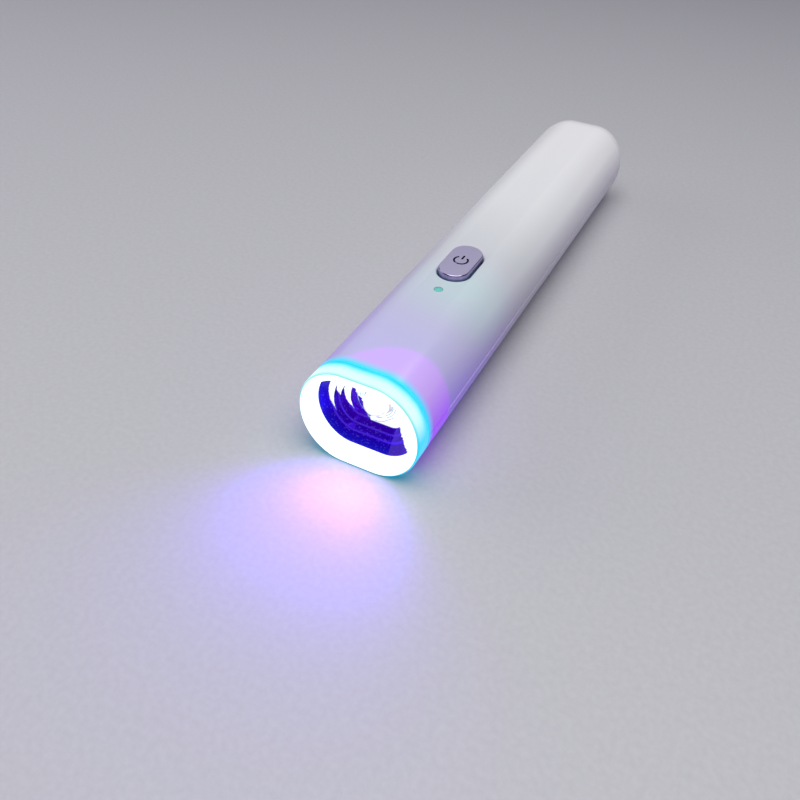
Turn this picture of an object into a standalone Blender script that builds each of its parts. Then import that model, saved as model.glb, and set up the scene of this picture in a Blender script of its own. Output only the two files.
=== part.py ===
"""Hand-held UV curing lamp: a white two-half housing with a translucent bezel, a stepped reflector round one
domed LED, a plated push button, an indicator light, an 18650 cell and a USB-C charging socket.

Frame: +Z up, the lamp lies on its flat underside at Z = 0, the lens faces -Y, and the origin is at the middle
of the underside. Places along the lamp are given as the distance behind the lens face.
"""

import math

import bmesh
import bpy
from mathutils import Matrix, Vector

MM = 0.001

# Driving dimensions of the housing
LENGTH = 140.0 * MM
WIDTH = 26.0 * MM
HEIGHT = 22.0 * MM
FLAT = 6.8 * MM  # width of the flat on the top and on the underside
WALL = 1.6 * MM
GAP = 0.3 * MM  # air between pieces that touch on the real lamp
TAIL_LENGTH = 6.5 * MM  # the tail's rounding along the lamp
TAIL_INSET = 2.6 * MM  # and how far it draws the section in
ARC_STEPS = 9  # facets in each quarter of the section

MID = HEIGHT / 2  # height of the parting line and of the optical axis
LIP_HEIGHT = 1.1 * MM
LIP_OUT = 0.95 * MM
LIP_IN = 1.5 * MM
FEATURE_INSET = 0.8 * MM  # how deep ribs and bosses root in the wall

# Lens end, as distances behind the lens face
BEZEL_DEPTH = 4.2 * MM
BEZEL_BORE = 1.75 * MM  # inset of the bezel's bore
BEZEL_EDGE = 0.35 * MM  # rounding of its outer edge
MOUTH_EDGE = 0.25 * MM
SPIGOT_OUT = 1.0 * MM
SPIGOT_END = 7.2 * MM
SHELL_START = BEZEL_DEPTH + GAP
SHELL_EDGE = 0.12 * MM
REFLECTOR_START = 4.0 * MM
REFLECTOR_RIM = BEZEL_BORE + GAP
REFLECTOR_MOUTH = 2.35 * MM
REFLECTOR_SHOULDER = 5.8 * MM  # where its outside starts to taper
REFLECTOR_NECK = (7.8 * MM, 5.9 * MM)  # depth and inset where the taper ends
REFLECTOR_FLOOR = 8.3 * MM
REFLECTOR_BACK = 8.8 * MM
MIRROR_STEPS = ((5.3 * MM, 3.9 * MM), (6.4 * MM, 5.0 * MM), (7.6 * MM, 6.3 * MM))  # feet of its steep walls
MIRROR_LEDGE = (0.15 * MM, 0.5 * MM)  # depth and inset that each ledge adds
MIRROR_FLOOR_INSET = 7.1 * MM
LED_HOLE = 3.3 * MM
LED_RADIUS = 3.0 * MM
LED_FRONT = 8.1 * MM
LED_BACK = 9.0 * MM
LED_POCKET = 1.9 * MM
LED_POCKET_DEPTH = 0.5 * MM
DIE_SIDE = 1.5 * MM
DIE_HEIGHT = 0.2 * MM
DOME = 2.7 * MM
DOME_GAP = 0.25 * MM
LED_BOARD_FRONT = 9.3 * MM
LED_BOARD_BACK = 10.9 * MM
LED_BOARD_INSET = 2.0 * MM
LED_SCREW_X = 8.8 * MM
LED_SCREW_HOLE = 4.5 * MM
SINK_FRONT = 11.2 * MM
SINK_BACK = 16.8 * MM
SINK_BASE = 2.0 * MM
SINK_INSET = 2.4 * MM
SINK_SLOTS = (-6.4 * MM, -3.2 * MM, 0.0, 3.2 * MM, 6.4 * MM)
SLOT_WIDTH = 1.3 * MM

# Circuit board, button and indicator
BOARD_START = 23.4 * MM
BOARD_END = 57.6 * MM
BOARD_WIDTH = 17.0 * MM
BOARD_TOP = 14.2 * MM
BOARD_THICK = 1.2 * MM
PART_Z = BOARD_TOP + GAP  # underside of what is soldered to the board
POST_X = 6.2 * MM
POST_ROWS = (27.0 * MM, 54.0 * MM)
POST_RADIUS = 2.0 * MM
POST_HOLE_FLOOR = 6.0 * MM
BUTTON_Y = 46.0 * MM
BUTTON_WIDTH = 7.0 * MM
BUTTON_LENGTH = 13.6 * MM
BUTTON_TOP = HEIGHT + 1.0 * MM
BUTTON_BEVEL = 0.45 * MM
END_FLAT = 0.02 * MM  # taken off a rounded end's radius, so that its two corners stay apart
FLANGE_WIDTH = 9.2 * MM
FLANGE_LENGTH = 15.8 * MM
FLANGE_LOW = 19.0 * MM
FLANGE_TOP = 20.0 * MM
STEM_RADIUS = 1.6 * MM
STEM_LOW = 18.6 * MM
SWITCH_SIDE = 6.0 * MM
SWITCH_TOP = 17.6 * MM
SWITCH_BORE = 2.0 * MM
SWITCH_BORE_FLOOR = 15.5 * MM
PLUNGER_RADIUS = 1.7 * MM
PLUNGER_LOW = 16.3 * MM
PLUNGER_TOP = 18.3 * MM
INDICATOR_Y = 34.6 * MM
INDICATOR_LED_HEIGHT = 0.8 * MM
PIPE_RADIUS = 0.9 * MM
PIPE_HOLE = 1.15 * MM
PIPE_COLLAR = 1.7 * MM

# Parts on the board: width, length and height, or radius and height
RIGHT_COLUMN = 4.6 * MM
DRIVER_ROW = 32.0 * MM
DRIVER_SIZE = (4.0 * MM, 5.0 * MM, 1.5 * MM)
CHARGER_ROW = 39.0 * MM
CHARGER_SIZE = (3.0 * MM, 3.0 * MM, 1.0 * MM)
INDUCTOR_PLACE = (-4.2 * MM, 32.6 * MM)
INDUCTOR_SIZE = (6.0 * MM, 6.0 * MM, 3.0 * MM)
CONNECTOR_ROW = 55.0 * MM
CONNECTOR_SIZE = (5.6 * MM, 4.4 * MM, 3.4 * MM)
INDICATOR_LED_SIZE = (1.6 * MM, 3.0 * MM, INDICATOR_LED_HEIGHT)
CAN_RADIUS = 2.0 * MM
CAN_HEIGHT = 3.6 * MM
LEFT_CAN = (-5.6 * MM, 39.2 * MM)
RIGHT_CAN = (5.8 * MM, 45.6 * MM)

# Cell
CELL_RADIUS = 9.1 * MM
CELL_START = 66.2 * MM
CELL_END = 130.2 * MM
CAP_START = 64.9 * MM
CAP_RADIUS = 3.5 * MM
CELL_SHOULDER = (1.0 * MM, 0.6 * MM)  # rounding of its front edge, across and along
CELL_HEEL = (0.6 * MM, 0.5 * MM)  # and of its back edge
CRIMP_PLACE = 3.2 * MM  # from the front end to the middle of the crimped groove
CRIMP_HALF = 0.7 * MM
CRIMP_DEPTH = 0.5 * MM
CAP_EDGE = 0.3 * MM
TAB_THICK = 0.3 * MM
FRONT_TAB_X = (-2.0 * MM, 6.0 * MM)
FRONT_TAB_Z = (MID - 2.0 * MM, MID + 2.0 * MM)
BACK_TAB_X = (-4.0 * MM, 8.6 * MM)
BACK_TAB_Z = (MID - 1.5 * MM, MID + 2.5 * MM)
SADDLE_ROWS = (72.0 * MM, 98.0 * MM, 124.0 * MM)
RIB_THICK = 1.2 * MM
SINK_RIB_INSET = 2.9 * MM

# Charging socket, a USB-C receptacle
USB_WIDTH = 8.9 * MM
USB_HEIGHT = 3.2 * MM
USB_CORNER = 1.4 * MM
USB_WALL = 0.35 * MM
USB_START = 132.6 * MM
USB_END = 139.7 * MM
TONGUE_CORNER = 0.7 * MM
TONGUE_ROOT = 1.2 * MM  # length of the block that carries the tongue's blade
BLADE_WIDTH = 6.7 * MM
BLADE_THICK = 0.7 * MM
BLADE_CORNER = 0.2 * MM
BLADE_RECESS = 0.9 * MM  # how far the blade stops short of the shell's mouth
CHARGE_START = 131.4 * MM
CHARGE_END = 138.0 * MM
CHARGE_WIDTH = 14.0 * MM
CHARGE_TOP = 9.1 * MM
CHARGE_THICK = 1.0 * MM
PEDESTAL = (3.6 * MM, 6.4 * MM)  # sides of the charging board's pedestals

# Fasteners
CASE_SCREWS = (20.2 * MM, 60.8 * MM)
LOWER_BOSS = 3.2 * MM
UPPER_BOSS = 2.6 * MM
BOSS_SPLIT = 8.0 * MM
BOSS_HOLE_TOP = 16.5 * MM
COUNTERBORE = 2.4 * MM
COUNTERBORE_DEPTH = 2.6 * MM
CASE_SHANK = 1.0 * MM
CASE_HOLE = 1.25 * MM
SMALL_SHANK = 0.9 * MM
SMALL_HOLE = 1.15 * MM

WIRE = 1.2 * MM
LED_LEAD_X = 4.6 * MM
LEAD_Z = 19.0 * MM
SIDE_RUN = 10.2 * MM  # how far off centre the long leads pass the cell
STRAIGHT_RUN = (127.0 * MM, 98.0 * MM, 68.0 * MM)  # where they run straight, from the tail forwards
LOW_RUN = 12.2 * MM
HIGH_RUN = 13.7 * MM

PARTS = "uv_curing_lamp"
CUTTERS = "cutters"


def clear_scene():
    for old in list(bpy.data.objects):
        bpy.data.objects.remove(old)


def new_collection(name):
    made = bpy.data.collections.new(name)
    bpy.context.scene.collection.children.link(made)
    return made


def behind(distance):
    """Y of a place that far behind the lens face."""
    return distance - LENGTH / 2


def material(name, colour, roughness, metallic=0.0, alpha=1.0, glow=0.0):
    made = bpy.data.materials.get(name)
    if made:
        return made
    made = bpy.data.materials.new(name)
    made.use_nodes = True
    shader = made.node_tree.nodes["Principled BSDF"]
    shader.inputs["Base Color"].default_value = (*colour, 1.0)
    shader.inputs["Roughness"].default_value = roughness
    shader.inputs["Metallic"].default_value = metallic
    shader.inputs["Alpha"].default_value = alpha
    shader.inputs["Emission Color"].default_value = (*colour, 1.0)
    shader.inputs["Emission Strength"].default_value = glow
    return made


def white_plastic():
    return material("white_plastic", (0.86, 0.86, 0.88), 0.22)


def milky_plastic():
    return material("milky_plastic", (0.78, 0.97, 1.0), 0.3, alpha=0.9, glow=1.0)


def plated_mirror():
    return material("plated_mirror", (0.9, 0.9, 0.93), 0.06, metallic=1.0)


def plated_button():
    return material("plated_button", (0.66, 0.65, 0.72), 0.28, metallic=1.0)


def steel():
    return material("steel", (0.6, 0.6, 0.62), 0.35, metallic=1.0)


def nickel_strip():
    return material("nickel_strip", (0.72, 0.7, 0.66), 0.4, metallic=1.0)


def black_plastic():
    return material("black_plastic", (0.02, 0.02, 0.022), 0.5)


def red_insulation():
    return material("red_insulation", (0.6, 0.03, 0.03), 0.5)


def black_insulation():
    return material("black_insulation", (0.03, 0.03, 0.03), 0.5)


def green_board():
    return material("green_board", (0.02, 0.16, 0.07), 0.4)


def section(inset):
    """Closed outline of the lamp in X and Z, drawn in by inset: two flats joined by elliptical sides."""
    reach = (WIDTH - FLAT) / 2 - inset
    rise = HEIGHT / 2 - inset
    points = []
    for quarter in range(4):
        side = FLAT / 2 if quarter in (0, 3) else -FLAT / 2
        for step in range(ARC_STEPS + 1):
            turn = math.radians(90) * (quarter + step / ARC_STEPS)
            point = Vector((side + reach * math.cos(turn), MID + rise * math.sin(turn)))
            if not points or (point - points[-1]).length > 1e-6:
                points.append(point)
    return points[:-1]


def rounded_outline(width, height, corner, steps=4):
    """Closed outline of a rectangle with round corners, centred on the origin."""
    points = []
    for quarter in range(4):
        across = 1 if quarter in (0, 3) else -1
        up = 1 if quarter in (0, 1) else -1
        centre = Vector((across * (width / 2 - corner), up * (height / 2 - corner)))
        for step in range(steps + 1):
            turn = math.radians(90) * (quarter + step / steps)
            point = centre + corner * Vector((math.cos(turn), math.sin(turn)))
            if not points or (point - points[-1]).length > 1e-6:
                points.append(point)
    if (points[0] - points[-1]).length < 1e-6:
        points.pop()
    return points


def body_stations(depth, start):
    """(distance, inset) of the housing's surface from start to the tail, drawn in by depth."""
    stations = [(start, depth)]
    for step in range(7):
        turn = math.radians(15 * step)
        back = (TAIL_LENGTH - depth) * (1 - math.sin(turn))
        drawn = (TAIL_INSET - depth) * (1 - math.cos(turn)) if depth < TAIL_INSET else 0
        stations.append((LENGTH - depth - back, depth + drawn))
    return stations


class Solid:
    """Collects closed shapes in one mesh."""

    def __init__(self):
        self.bm = bmesh.new()

    def box(self, low, high):
        low, high = Vector(low), Vector(high)
        size, centre = high - low, (low + high) / 2
        place = Matrix.Translation(centre) @ Matrix.Diagonal((*size, 1))
        bmesh.ops.create_cube(self.bm, size=1, matrix=place)
        return self

    def cylinder(self, centre, radius, low, high, segments=24):
        """A cylinder along Z."""
        place = Matrix.Translation((centre[0], centre[1], (low + high) / 2))
        bmesh.ops.create_cone(
            self.bm,
            cap_ends=True,
            segments=segments,
            radius1=radius,
            radius2=radius,
            depth=high - low,
            matrix=place,
        )
        return self

    def rod(self, x, z, radius, front, back, segments=24):
        """A cylinder along the lamp."""
        middle = Matrix.Translation((x, behind((front + back) / 2), z))
        place = middle @ Matrix.Rotation(math.radians(90), 4, "X")
        bmesh.ops.create_cone(
            self.bm,
            cap_ends=True,
            segments=segments,
            radius1=radius,
            radius2=radius,
            depth=back - front,
            matrix=place,
        )
        return self

    def rings(self, stations, closed=False):
        """Skins the lamp's section through stations. It is capped, or closed on itself as a ring."""
        loops = []
        for distance, inset in stations:
            loops.append([self.bm.verts.new((p.x, behind(distance), p.y)) for p in section(inset)])
        pairs = list(zip(loops, loops[1:]))
        if closed:
            pairs.append((loops[-1], loops[0]))
        for one, other in pairs:
            for i in range(len(one)):
                self.bm.faces.new((one[i - 1], one[i], other[i], other[i - 1]))
        if not closed:
            self.bm.faces.new(loops[0])
            self.bm.faces.new(loops[-1])
        return self

    def prism(self, outline, low, high, along="Z", centre=(0, 0)):
        """Extrudes an outline along Z, or along the lamp for an outline in X and Z."""

        def place(point, level):
            x, other = point.x + centre[0], point.y + centre[1]
            return (x, other, level) if along == "Z" else (x, behind(level), other)

        base = self.bm.faces.new([self.bm.verts.new(place(p, low)) for p in outline])
        made = bmesh.ops.extrude_face_region(self.bm, geom=[base])
        lift = Vector(place(Vector((0, 0)), high)) - Vector(place(Vector((0, 0)), low))
        moved = [v for v in made["geom"] if isinstance(v, bmesh.types.BMVert)]
        bmesh.ops.translate(self.bm, verts=moved, vec=lift)
        return self

    def make(self, name, look=None):
        """Turns the shapes into an object: a part if it has a material, else a cutter."""
        bmesh.ops.recalc_face_normals(self.bm, faces=self.bm.faces)
        if self.bm.calc_volume(signed=True) < 0:
            bmesh.ops.reverse_faces(self.bm, faces=self.bm.faces)
        mesh = bpy.data.meshes.new(name)
        self.bm.to_mesh(mesh)
        self.bm.free()
        return add(name, mesh, look)


def add(name, mesh, look=None):
    obj = bpy.data.objects.new(name, mesh)
    if look:
        bpy.data.collections[PARTS].objects.link(obj)
        mesh.materials.append(look)
        if isinstance(mesh, bpy.types.Mesh):
            mesh.shade_smooth()
            mesh.set_sharp_from_angle(angle=math.radians(30))
    else:
        bpy.data.collections[CUTTERS].objects.link(obj)
        obj.hide_render = True
        obj.display_type = "WIRE"
    return obj


def boolean(obj, other, operation):
    modifier = obj.modifiers.new(other.name, "BOOLEAN")
    modifier.operation = operation
    modifier.object = other
    return obj


def cut(obj, cutter):
    return boolean(obj, cutter, "DIFFERENCE")


def join(obj, other):
    return boolean(obj, other, "UNION")


def keep(obj, region):
    return boolean(obj, region, "INTERSECT")


def bevel(obj, width, segments=2, angle=40):
    modifier = obj.modifiers.new("Bevel", "BEVEL")
    modifier.width = width
    modifier.segments = segments
    modifier.limit_method = "ANGLE"
    modifier.angle_limit = math.radians(angle)
    return obj


def turned(name, profile, look, location, turn=(0, 0, 0), steps=24):
    """Turns (radius, height) points, listed from the top down, about the object's Z axis."""
    mesh = bpy.data.meshes.new(name)
    points = [(radius, 0, height) for radius, height in profile]
    mesh.from_pydata(points, [(i, i + 1) for i in range(len(points) - 1)], [])
    obj = add(name, mesh, look)
    obj.location = location
    obj.rotation_euler = turn
    screw = obj.modifiers.new("Turn", "SCREW")
    screw.steps = screw.render_steps = steps
    screw.use_merge_vertices = True
    screw.merge_threshold = 0.00001
    return obj


FACING_LENS = (math.radians(90), 0, 0)  # turns an object's +Z towards the lens
HEAD_DOWN = (math.radians(180), 0, 0)


def smooth_route(stops, per_leg=4):
    """Points along a Catmull-Rom curve through the stops."""
    ends = [2 * stops[0] - stops[1], *stops, 2 * stops[-1] - stops[-2]]
    points = []
    for i in range(1, len(ends) - 2):
        a, b, c, d = ends[i - 1 : i + 3]
        for step in range(per_leg):
            t = step / per_leg
            bend = (2 * a - 5 * b + 4 * c - d) * t**2 + (3 * b - a - 3 * c + d) * t**3
            points.append(0.5 * (2 * b + (c - a) * t + bend))
    return [*points, ends[-2]]


def lead(name, stops, look):
    """An insulated wire through stops of (x, distance behind the lens face, z), in millimetres."""
    route = smooth_route([Vector((x * MM, behind(y * MM), z * MM)) for x, y, z in stops])
    curve = bpy.data.curves.new(name, "CURVE")
    curve.dimensions = "3D"
    curve.bevel_depth = WIRE / 2
    curve.bevel_resolution = 2
    curve.use_fill_caps = True
    spline = curve.splines.new("POLY")
    spline.points.add(len(route) - 1)
    for point, place in zip(spline.points, route):
        point.co = (*place, 1)
    return add(name, curve, look)


def cross_recess(name, size, depth, top):
    """The cutter for a cross-head recess, from top down into a screw's head."""
    arm = size / 4
    half = size / 2
    corners = [(half, arm), (arm, arm), (arm, half), (-arm, half), (-arm, arm), (-half, arm)]
    outline = [Vector(c) for c in corners] + [-Vector(c) for c in corners]
    return Solid().prism(outline, top - depth, top + depth).make(name)


def screw(name, location, turn, shank, head, head_height, length):
    """A pan-head screw whose head stands on the object's XY plane."""
    profile = [
        (0, head_height),
        (head * 0.75, head_height),
        (head, head_height * 0.55),
        (head, 0),
        (shank, 0),
        (shank, shank - length),
        (0, -length),
    ]
    obj = turned(name, profile, steel(), location, turn, steps=16)
    recess = cross_recess(name + "_recess", head, head_height / 2, head_height)
    recess.location = location
    recess.rotation_euler = turn
    return cut(obj, recess)


# Housing ---------------------------------------------------------------------------------------------------


def half_space(name, low, high):
    """A box that holds the whole lamp between two heights."""
    reach = LENGTH
    return Solid().box((-reach, -reach, low), (reach, reach, high)).make(name)


def housing_skin(name):
    """The hollow housing before it is parted: an open skin with its wall grown inwards."""
    stations = [(SHELL_START, SHELL_EDGE), *body_stations(0, SHELL_START + SHELL_EDGE)]
    bm = Solid().rings(stations).bm
    front = [f for f in bm.faces if all(abs(v.co.y - behind(SHELL_START)) < 1e-7 for v in f.verts)]
    bmesh.ops.delete(bm, geom=front, context="FACES_ONLY")
    bmesh.ops.recalc_face_normals(bm, faces=bm.faces)
    mesh = bpy.data.meshes.new(name)
    bm.to_mesh(mesh)
    bm.free()
    obj = add(name, mesh, white_plastic())
    solidify = obj.modifiers.new("Wall", "SOLIDIFY")
    solidify.thickness = WALL
    solidify.offset = -1
    solidify.use_even_offset = True
    return obj


def feature_core():
    """The space that ribs and bosses may fill, up to the middle of the wall."""
    return Solid().rings(body_stations(FEATURE_INSET, SHELL_START + GAP)).make("feature_core")


def mouth_rebate():
    """The space inside the housing's mouth that the bezel's spigot fits into."""
    depth = SPIGOT_OUT - GAP
    return Solid().rings([(SHELL_START - MM, depth), (SPIGOT_END + GAP, depth)]).make("mouth_rebate")


def seam_lip():
    """The lower half's tongue, which stands inside the upper half along the parting line."""
    start = SPIGOT_END + GAP
    outer = Solid().rings(body_stations(LIP_OUT, start)).make("lip_outside")
    inner = Solid().rings(body_stations(LIP_IN, start - MM)).make("lip_inside")
    cut(outer, inner)
    return keep(outer, half_space("lip_band", MID - LIP_HEIGHT, MID + LIP_HEIGHT))


def seam_rebate():
    """What the upper half gives up for the tongue."""
    rebate = Solid().rings(body_stations(LIP_OUT - GAP, SHELL_START - MM)).make("seam_rebate")
    return keep(rebate, half_space("rebate_band", MID - MM, MID + LIP_HEIGHT + GAP))


def usb_opening():
    outline = rounded_outline(USB_WIDTH + 2 * GAP, USB_HEIGHT + 2 * GAP, USB_CORNER + GAP)
    return Solid().prism(outline, LENGTH - 3 * MM, LENGTH + MM, "Y", (0, MID)).make("usb_opening")


def upper_shell(core, port):
    shell = housing_skin("upper_shell")
    keep(shell, half_space("above_seam", MID + GAP / 2, 2 * HEIGHT))
    cut(shell, mouth_rebate())
    cut(shell, seam_rebate())
    bosses = Solid()
    for row in CASE_SCREWS:
        bosses.cylinder((0, behind(row)), UPPER_BOSS, BOSS_SPLIT + GAP, HEIGHT)
    join(shell, keep(bosses.make("upper_bosses"), core))
    holes = Solid()
    for row in CASE_SCREWS:
        holes.cylinder((0, behind(row)), CASE_HOLE, BOSS_SPLIT - MM, BOSS_HOLE_TOP)
    holes.cylinder((0, behind(INDICATOR_Y)), PIPE_HOLE, HEIGHT - 3 * WALL, HEIGHT + MM)
    opening = rounded_outline(BUTTON_WIDTH + 2 * GAP, BUTTON_LENGTH + 2 * GAP, BUTTON_WIDTH / 2 + GAP, 8)
    holes.prism(opening, HEIGHT - 3 * WALL, HEIGHT + MM, "Z", (0, behind(BUTTON_Y)))
    cut(shell, holes.make("upper_holes"))
    return cut(shell, port)


def lower_ribs(core):
    """A rib behind the heat sink, and saddles that steady the cell on both sides."""
    ribs = Solid()
    sink_rib = SINK_BACK + GAP
    for front in (sink_rib, *SADDLE_ROWS):
        ribs.rings([(front, 0), (front + RIB_THICK, 0)])
    made = keep(ribs.make("lower_ribs"), core)
    keep(made, half_space("below_leads", -MM, MID - GAP))
    hollow = Solid().rod(0, MID, CELL_RADIUS + GAP, 30 * MM, LENGTH, 48)
    hollow.rings([(sink_rib - MM, SINK_RIB_INSET), (sink_rib + 2 * RIB_THICK, SINK_RIB_INSET)])
    return cut(made, hollow.make("rib_hollow"))


def lower_posts(core):
    """Screw bosses, the circuit board's posts and the charging board's pedestals."""
    posts = Solid()
    for row in CASE_SCREWS:
        posts.cylinder((0, behind(row)), LOWER_BOSS, 0, BOSS_SPLIT)
    for row in POST_ROWS:
        for x in (-POST_X, POST_X):
            posts.cylinder((x, behind(row)), POST_RADIUS, 0, BOARD_TOP - BOARD_THICK - GAP, 16)
    for side in (-1, 1):
        inner, outer = sorted(side * reach for reach in PEDESTAL)
        low = (inner, behind(CHARGE_START), 0)
        high = (outer, behind(CHARGE_END - MM), CHARGE_TOP - CHARGE_THICK - GAP)
        posts.box(low, high)
    return keep(posts.make("lower_posts"), core)


def lower_shell(core, port):
    shell = housing_skin("lower_shell")
    keep(shell, half_space("below_seam", -HEIGHT, MID - GAP / 2))
    cut(shell, mouth_rebate())
    for extra in (seam_lip(), lower_posts(core), lower_ribs(core)):
        join(shell, extra)
    holes = Solid()
    for row in CASE_SCREWS:
        holes.cylinder((0, behind(row)), CASE_HOLE, COUNTERBORE_DEPTH - 0.2 * MM, BOSS_SPLIT + MM)
    cut(shell, holes.make("screw_holes"))
    bores = Solid()
    for row in CASE_SCREWS:
        bores.cylinder((0, behind(row)), COUNTERBORE, -MM, COUNTERBORE_DEPTH)
    for row in POST_ROWS:
        for x in (-POST_X, POST_X):
            bores.cylinder((x, behind(row)), SMALL_HOLE, POST_HOLE_FLOOR, BOARD_TOP, 16)
    cut(shell, bores.make("counterbores"))
    return cut(shell, port)


def front_bezel():
    """The milky ring: an outer band flush with the housing, a straight bore, and a spigot behind it."""
    stations = [
        (0, BEZEL_EDGE),
        (0.3 * BEZEL_EDGE, 0.3 * BEZEL_EDGE),
        (BEZEL_EDGE, 0),
        (BEZEL_DEPTH - SHELL_EDGE, 0),
        (BEZEL_DEPTH, SHELL_EDGE),
        (BEZEL_DEPTH, SPIGOT_OUT),
        (SPIGOT_END, SPIGOT_OUT),
        (SPIGOT_END, BEZEL_BORE),
        (MOUTH_EDGE, BEZEL_BORE),
        (0, BEZEL_BORE - MOUTH_EDGE),
    ]
    return Solid().rings(stations, closed=True).make("front_bezel", milky_plastic())


# Light engine ----------------------------------------------------------------------------------------------


def mirror_stations():
    """The stepped mirror: steep walls and narrow ledges in turn, from the mouth to the floor."""
    stations = [(REFLECTOR_START - MM, REFLECTOR_MOUTH), (REFLECTOR_START, REFLECTOR_MOUTH)]
    for depth, inset in MIRROR_STEPS:
        stations += [(depth, inset), (depth + MIRROR_LEDGE[0], inset + MIRROR_LEDGE[1])]
    return [*stations, (REFLECTOR_FLOOR, MIRROR_FLOOR_INSET)]


def reflector():
    outside = [(REFLECTOR_START, REFLECTOR_RIM), (REFLECTOR_SHOULDER, REFLECTOR_RIM)]
    outside += [REFLECTOR_NECK, (REFLECTOR_BACK, REFLECTOR_NECK[1])]
    obj = Solid().rings(outside).make("reflector", plated_mirror())
    cut(obj, Solid().rings(mirror_stations()).make("mirror_space"))
    hole = Solid().rod(0, MID, LED_HOLE, REFLECTOR_FLOOR - MM, REFLECTOR_BACK + MM, 32)
    return cut(obj, hole.make("led_hole"))


def led():
    package = Solid().rod(0, MID, LED_RADIUS, LED_FRONT, LED_BACK, 32)
    package = package.make("led_package", material("led_ceramic", (0.85, 0.84, 0.78), 0.5))
    pocket = Solid().rod(0, MID, LED_POCKET, LED_FRONT - MM, LED_FRONT + LED_POCKET_DEPTH)
    cut(package, pocket.make("led_pocket"))
    half = DIE_SIDE / 2
    low = (-half, behind(LED_FRONT), MID - half)
    high = (half, behind(LED_FRONT + DIE_HEIGHT), MID + half)
    Solid().box(low, high).make("led_die", material("uv_emitter", (0.45, 0.3, 1.0), 0.4, glow=20))
    arc = [math.radians(90 - 15 * step) for step in range(7)]
    profile = [(DOME * math.cos(a), DOME * math.sin(a)) for a in arc]
    place = (0, behind(LED_FRONT - DOME_GAP), MID)
    clear = material("clear_silicone", (0.95, 0.97, 1.0), 0.05, alpha=0.35)
    turned("led_lens", [(0, DOME), *profile[1:], (0, 0)], clear, place, FACING_LENS)


def led_board():
    board = Solid().rings([(LED_BOARD_FRONT, LED_BOARD_INSET), (LED_BOARD_BACK, LED_BOARD_INSET)])
    board = board.make("led_board", material("white_board", (0.88, 0.88, 0.86), 0.45))
    holes = Solid()
    for x in (-LED_SCREW_X, LED_SCREW_X):
        holes.rod(x, MID, SMALL_HOLE, LED_BOARD_FRONT - MM, LED_BOARD_BACK + MM, 16)
    return cut(board, holes.make("led_board_holes"))


def heat_sink():
    """An aluminium block behind the LED board, slotted into fins and notched for the LED's leads."""
    sink = Solid().rings([(SINK_FRONT, SINK_INSET), (SINK_BACK, SINK_INSET)])
    sink = sink.make("heat_sink", material("aluminium", (0.74, 0.75, 0.77), 0.35, metallic=1.0))
    slots = Solid()
    for x in SINK_SLOTS:
        low = (x - SLOT_WIDTH / 2, behind(SINK_FRONT + SINK_BASE), -MM)
        slots.box(low, (x + SLOT_WIDTH / 2, behind(SINK_BACK + MM), HEIGHT))
    cut(sink, slots.make("fin_slots"))
    notches = Solid()
    for x in (-LED_LEAD_X, LED_LEAD_X):
        low = (x - WIRE, behind(SINK_FRONT - MM), LEAD_Z - WIRE)
        notches.box(low, (x + WIRE, behind(SINK_BACK + MM), HEIGHT))
    for x in (-LED_SCREW_X, LED_SCREW_X):
        notches.rod(x, MID, SMALL_HOLE, SINK_FRONT - MM, SINK_FRONT + LED_SCREW_HOLE, 16)
    return cut(sink, notches.make("lead_notches"))


def led_screws():
    head, head_height, length = 1.35 * MM, 0.9 * MM, 5.4 * MM
    for side, x in (("left", -LED_SCREW_X), ("right", LED_SCREW_X)):
        place = (x, behind(LED_BOARD_FRONT - GAP), MID)
        screw("led_screw_" + side, place, FACING_LENS, SMALL_SHANK, head, head_height, length)


# Circuit board ---------------------------------------------------------------------------------------------


def main_board():
    outline = rounded_outline(BOARD_WIDTH, BOARD_END - BOARD_START, 1.0 * MM, 3)
    middle = (0, behind((BOARD_START + BOARD_END) / 2))
    board = Solid().prism(outline, BOARD_TOP - BOARD_THICK, BOARD_TOP, "Z", middle)
    board = board.make("main_board", green_board())
    holes = Solid()
    for row in POST_ROWS:
        for x in (-POST_X, POST_X):
            holes.cylinder((x, behind(row)), SMALL_HOLE, 0, HEIGHT, 16)
    return cut(board, holes.make("board_holes"))


def chip(name, place, size, look, edge=0.2 * MM):
    """A soldered part with rounded edges, standing on the board."""
    low = Vector((place[0] - size[0] / 2, behind(place[1]) - size[1] / 2, PART_Z))
    return bevel(Solid().box(low, low + Vector(size)).make(name, look), edge, 1)


def capacitor(name, place):
    """An electrolytic can with a rounded top and a crimp near its foot."""
    top_edge = 0.3 * MM
    crimp, crimp_depth = 0.7 * MM, 0.2 * MM
    profile = [
        (0, CAN_HEIGHT),
        (CAN_RADIUS - top_edge, CAN_HEIGHT),
        (CAN_RADIUS, CAN_HEIGHT - top_edge),
        (CAN_RADIUS, crimp + crimp_depth),
        (CAN_RADIUS - crimp_depth, crimp),
        (CAN_RADIUS, crimp - crimp_depth),
        (CAN_RADIUS, 0),
        (0, 0),
    ]
    sleeve = material("capacitor_can", (0.62, 0.63, 0.66), 0.3, metallic=1.0)
    turned(name, profile, sleeve, (place[0], behind(place[1]), PART_Z), steps=16)


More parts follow.
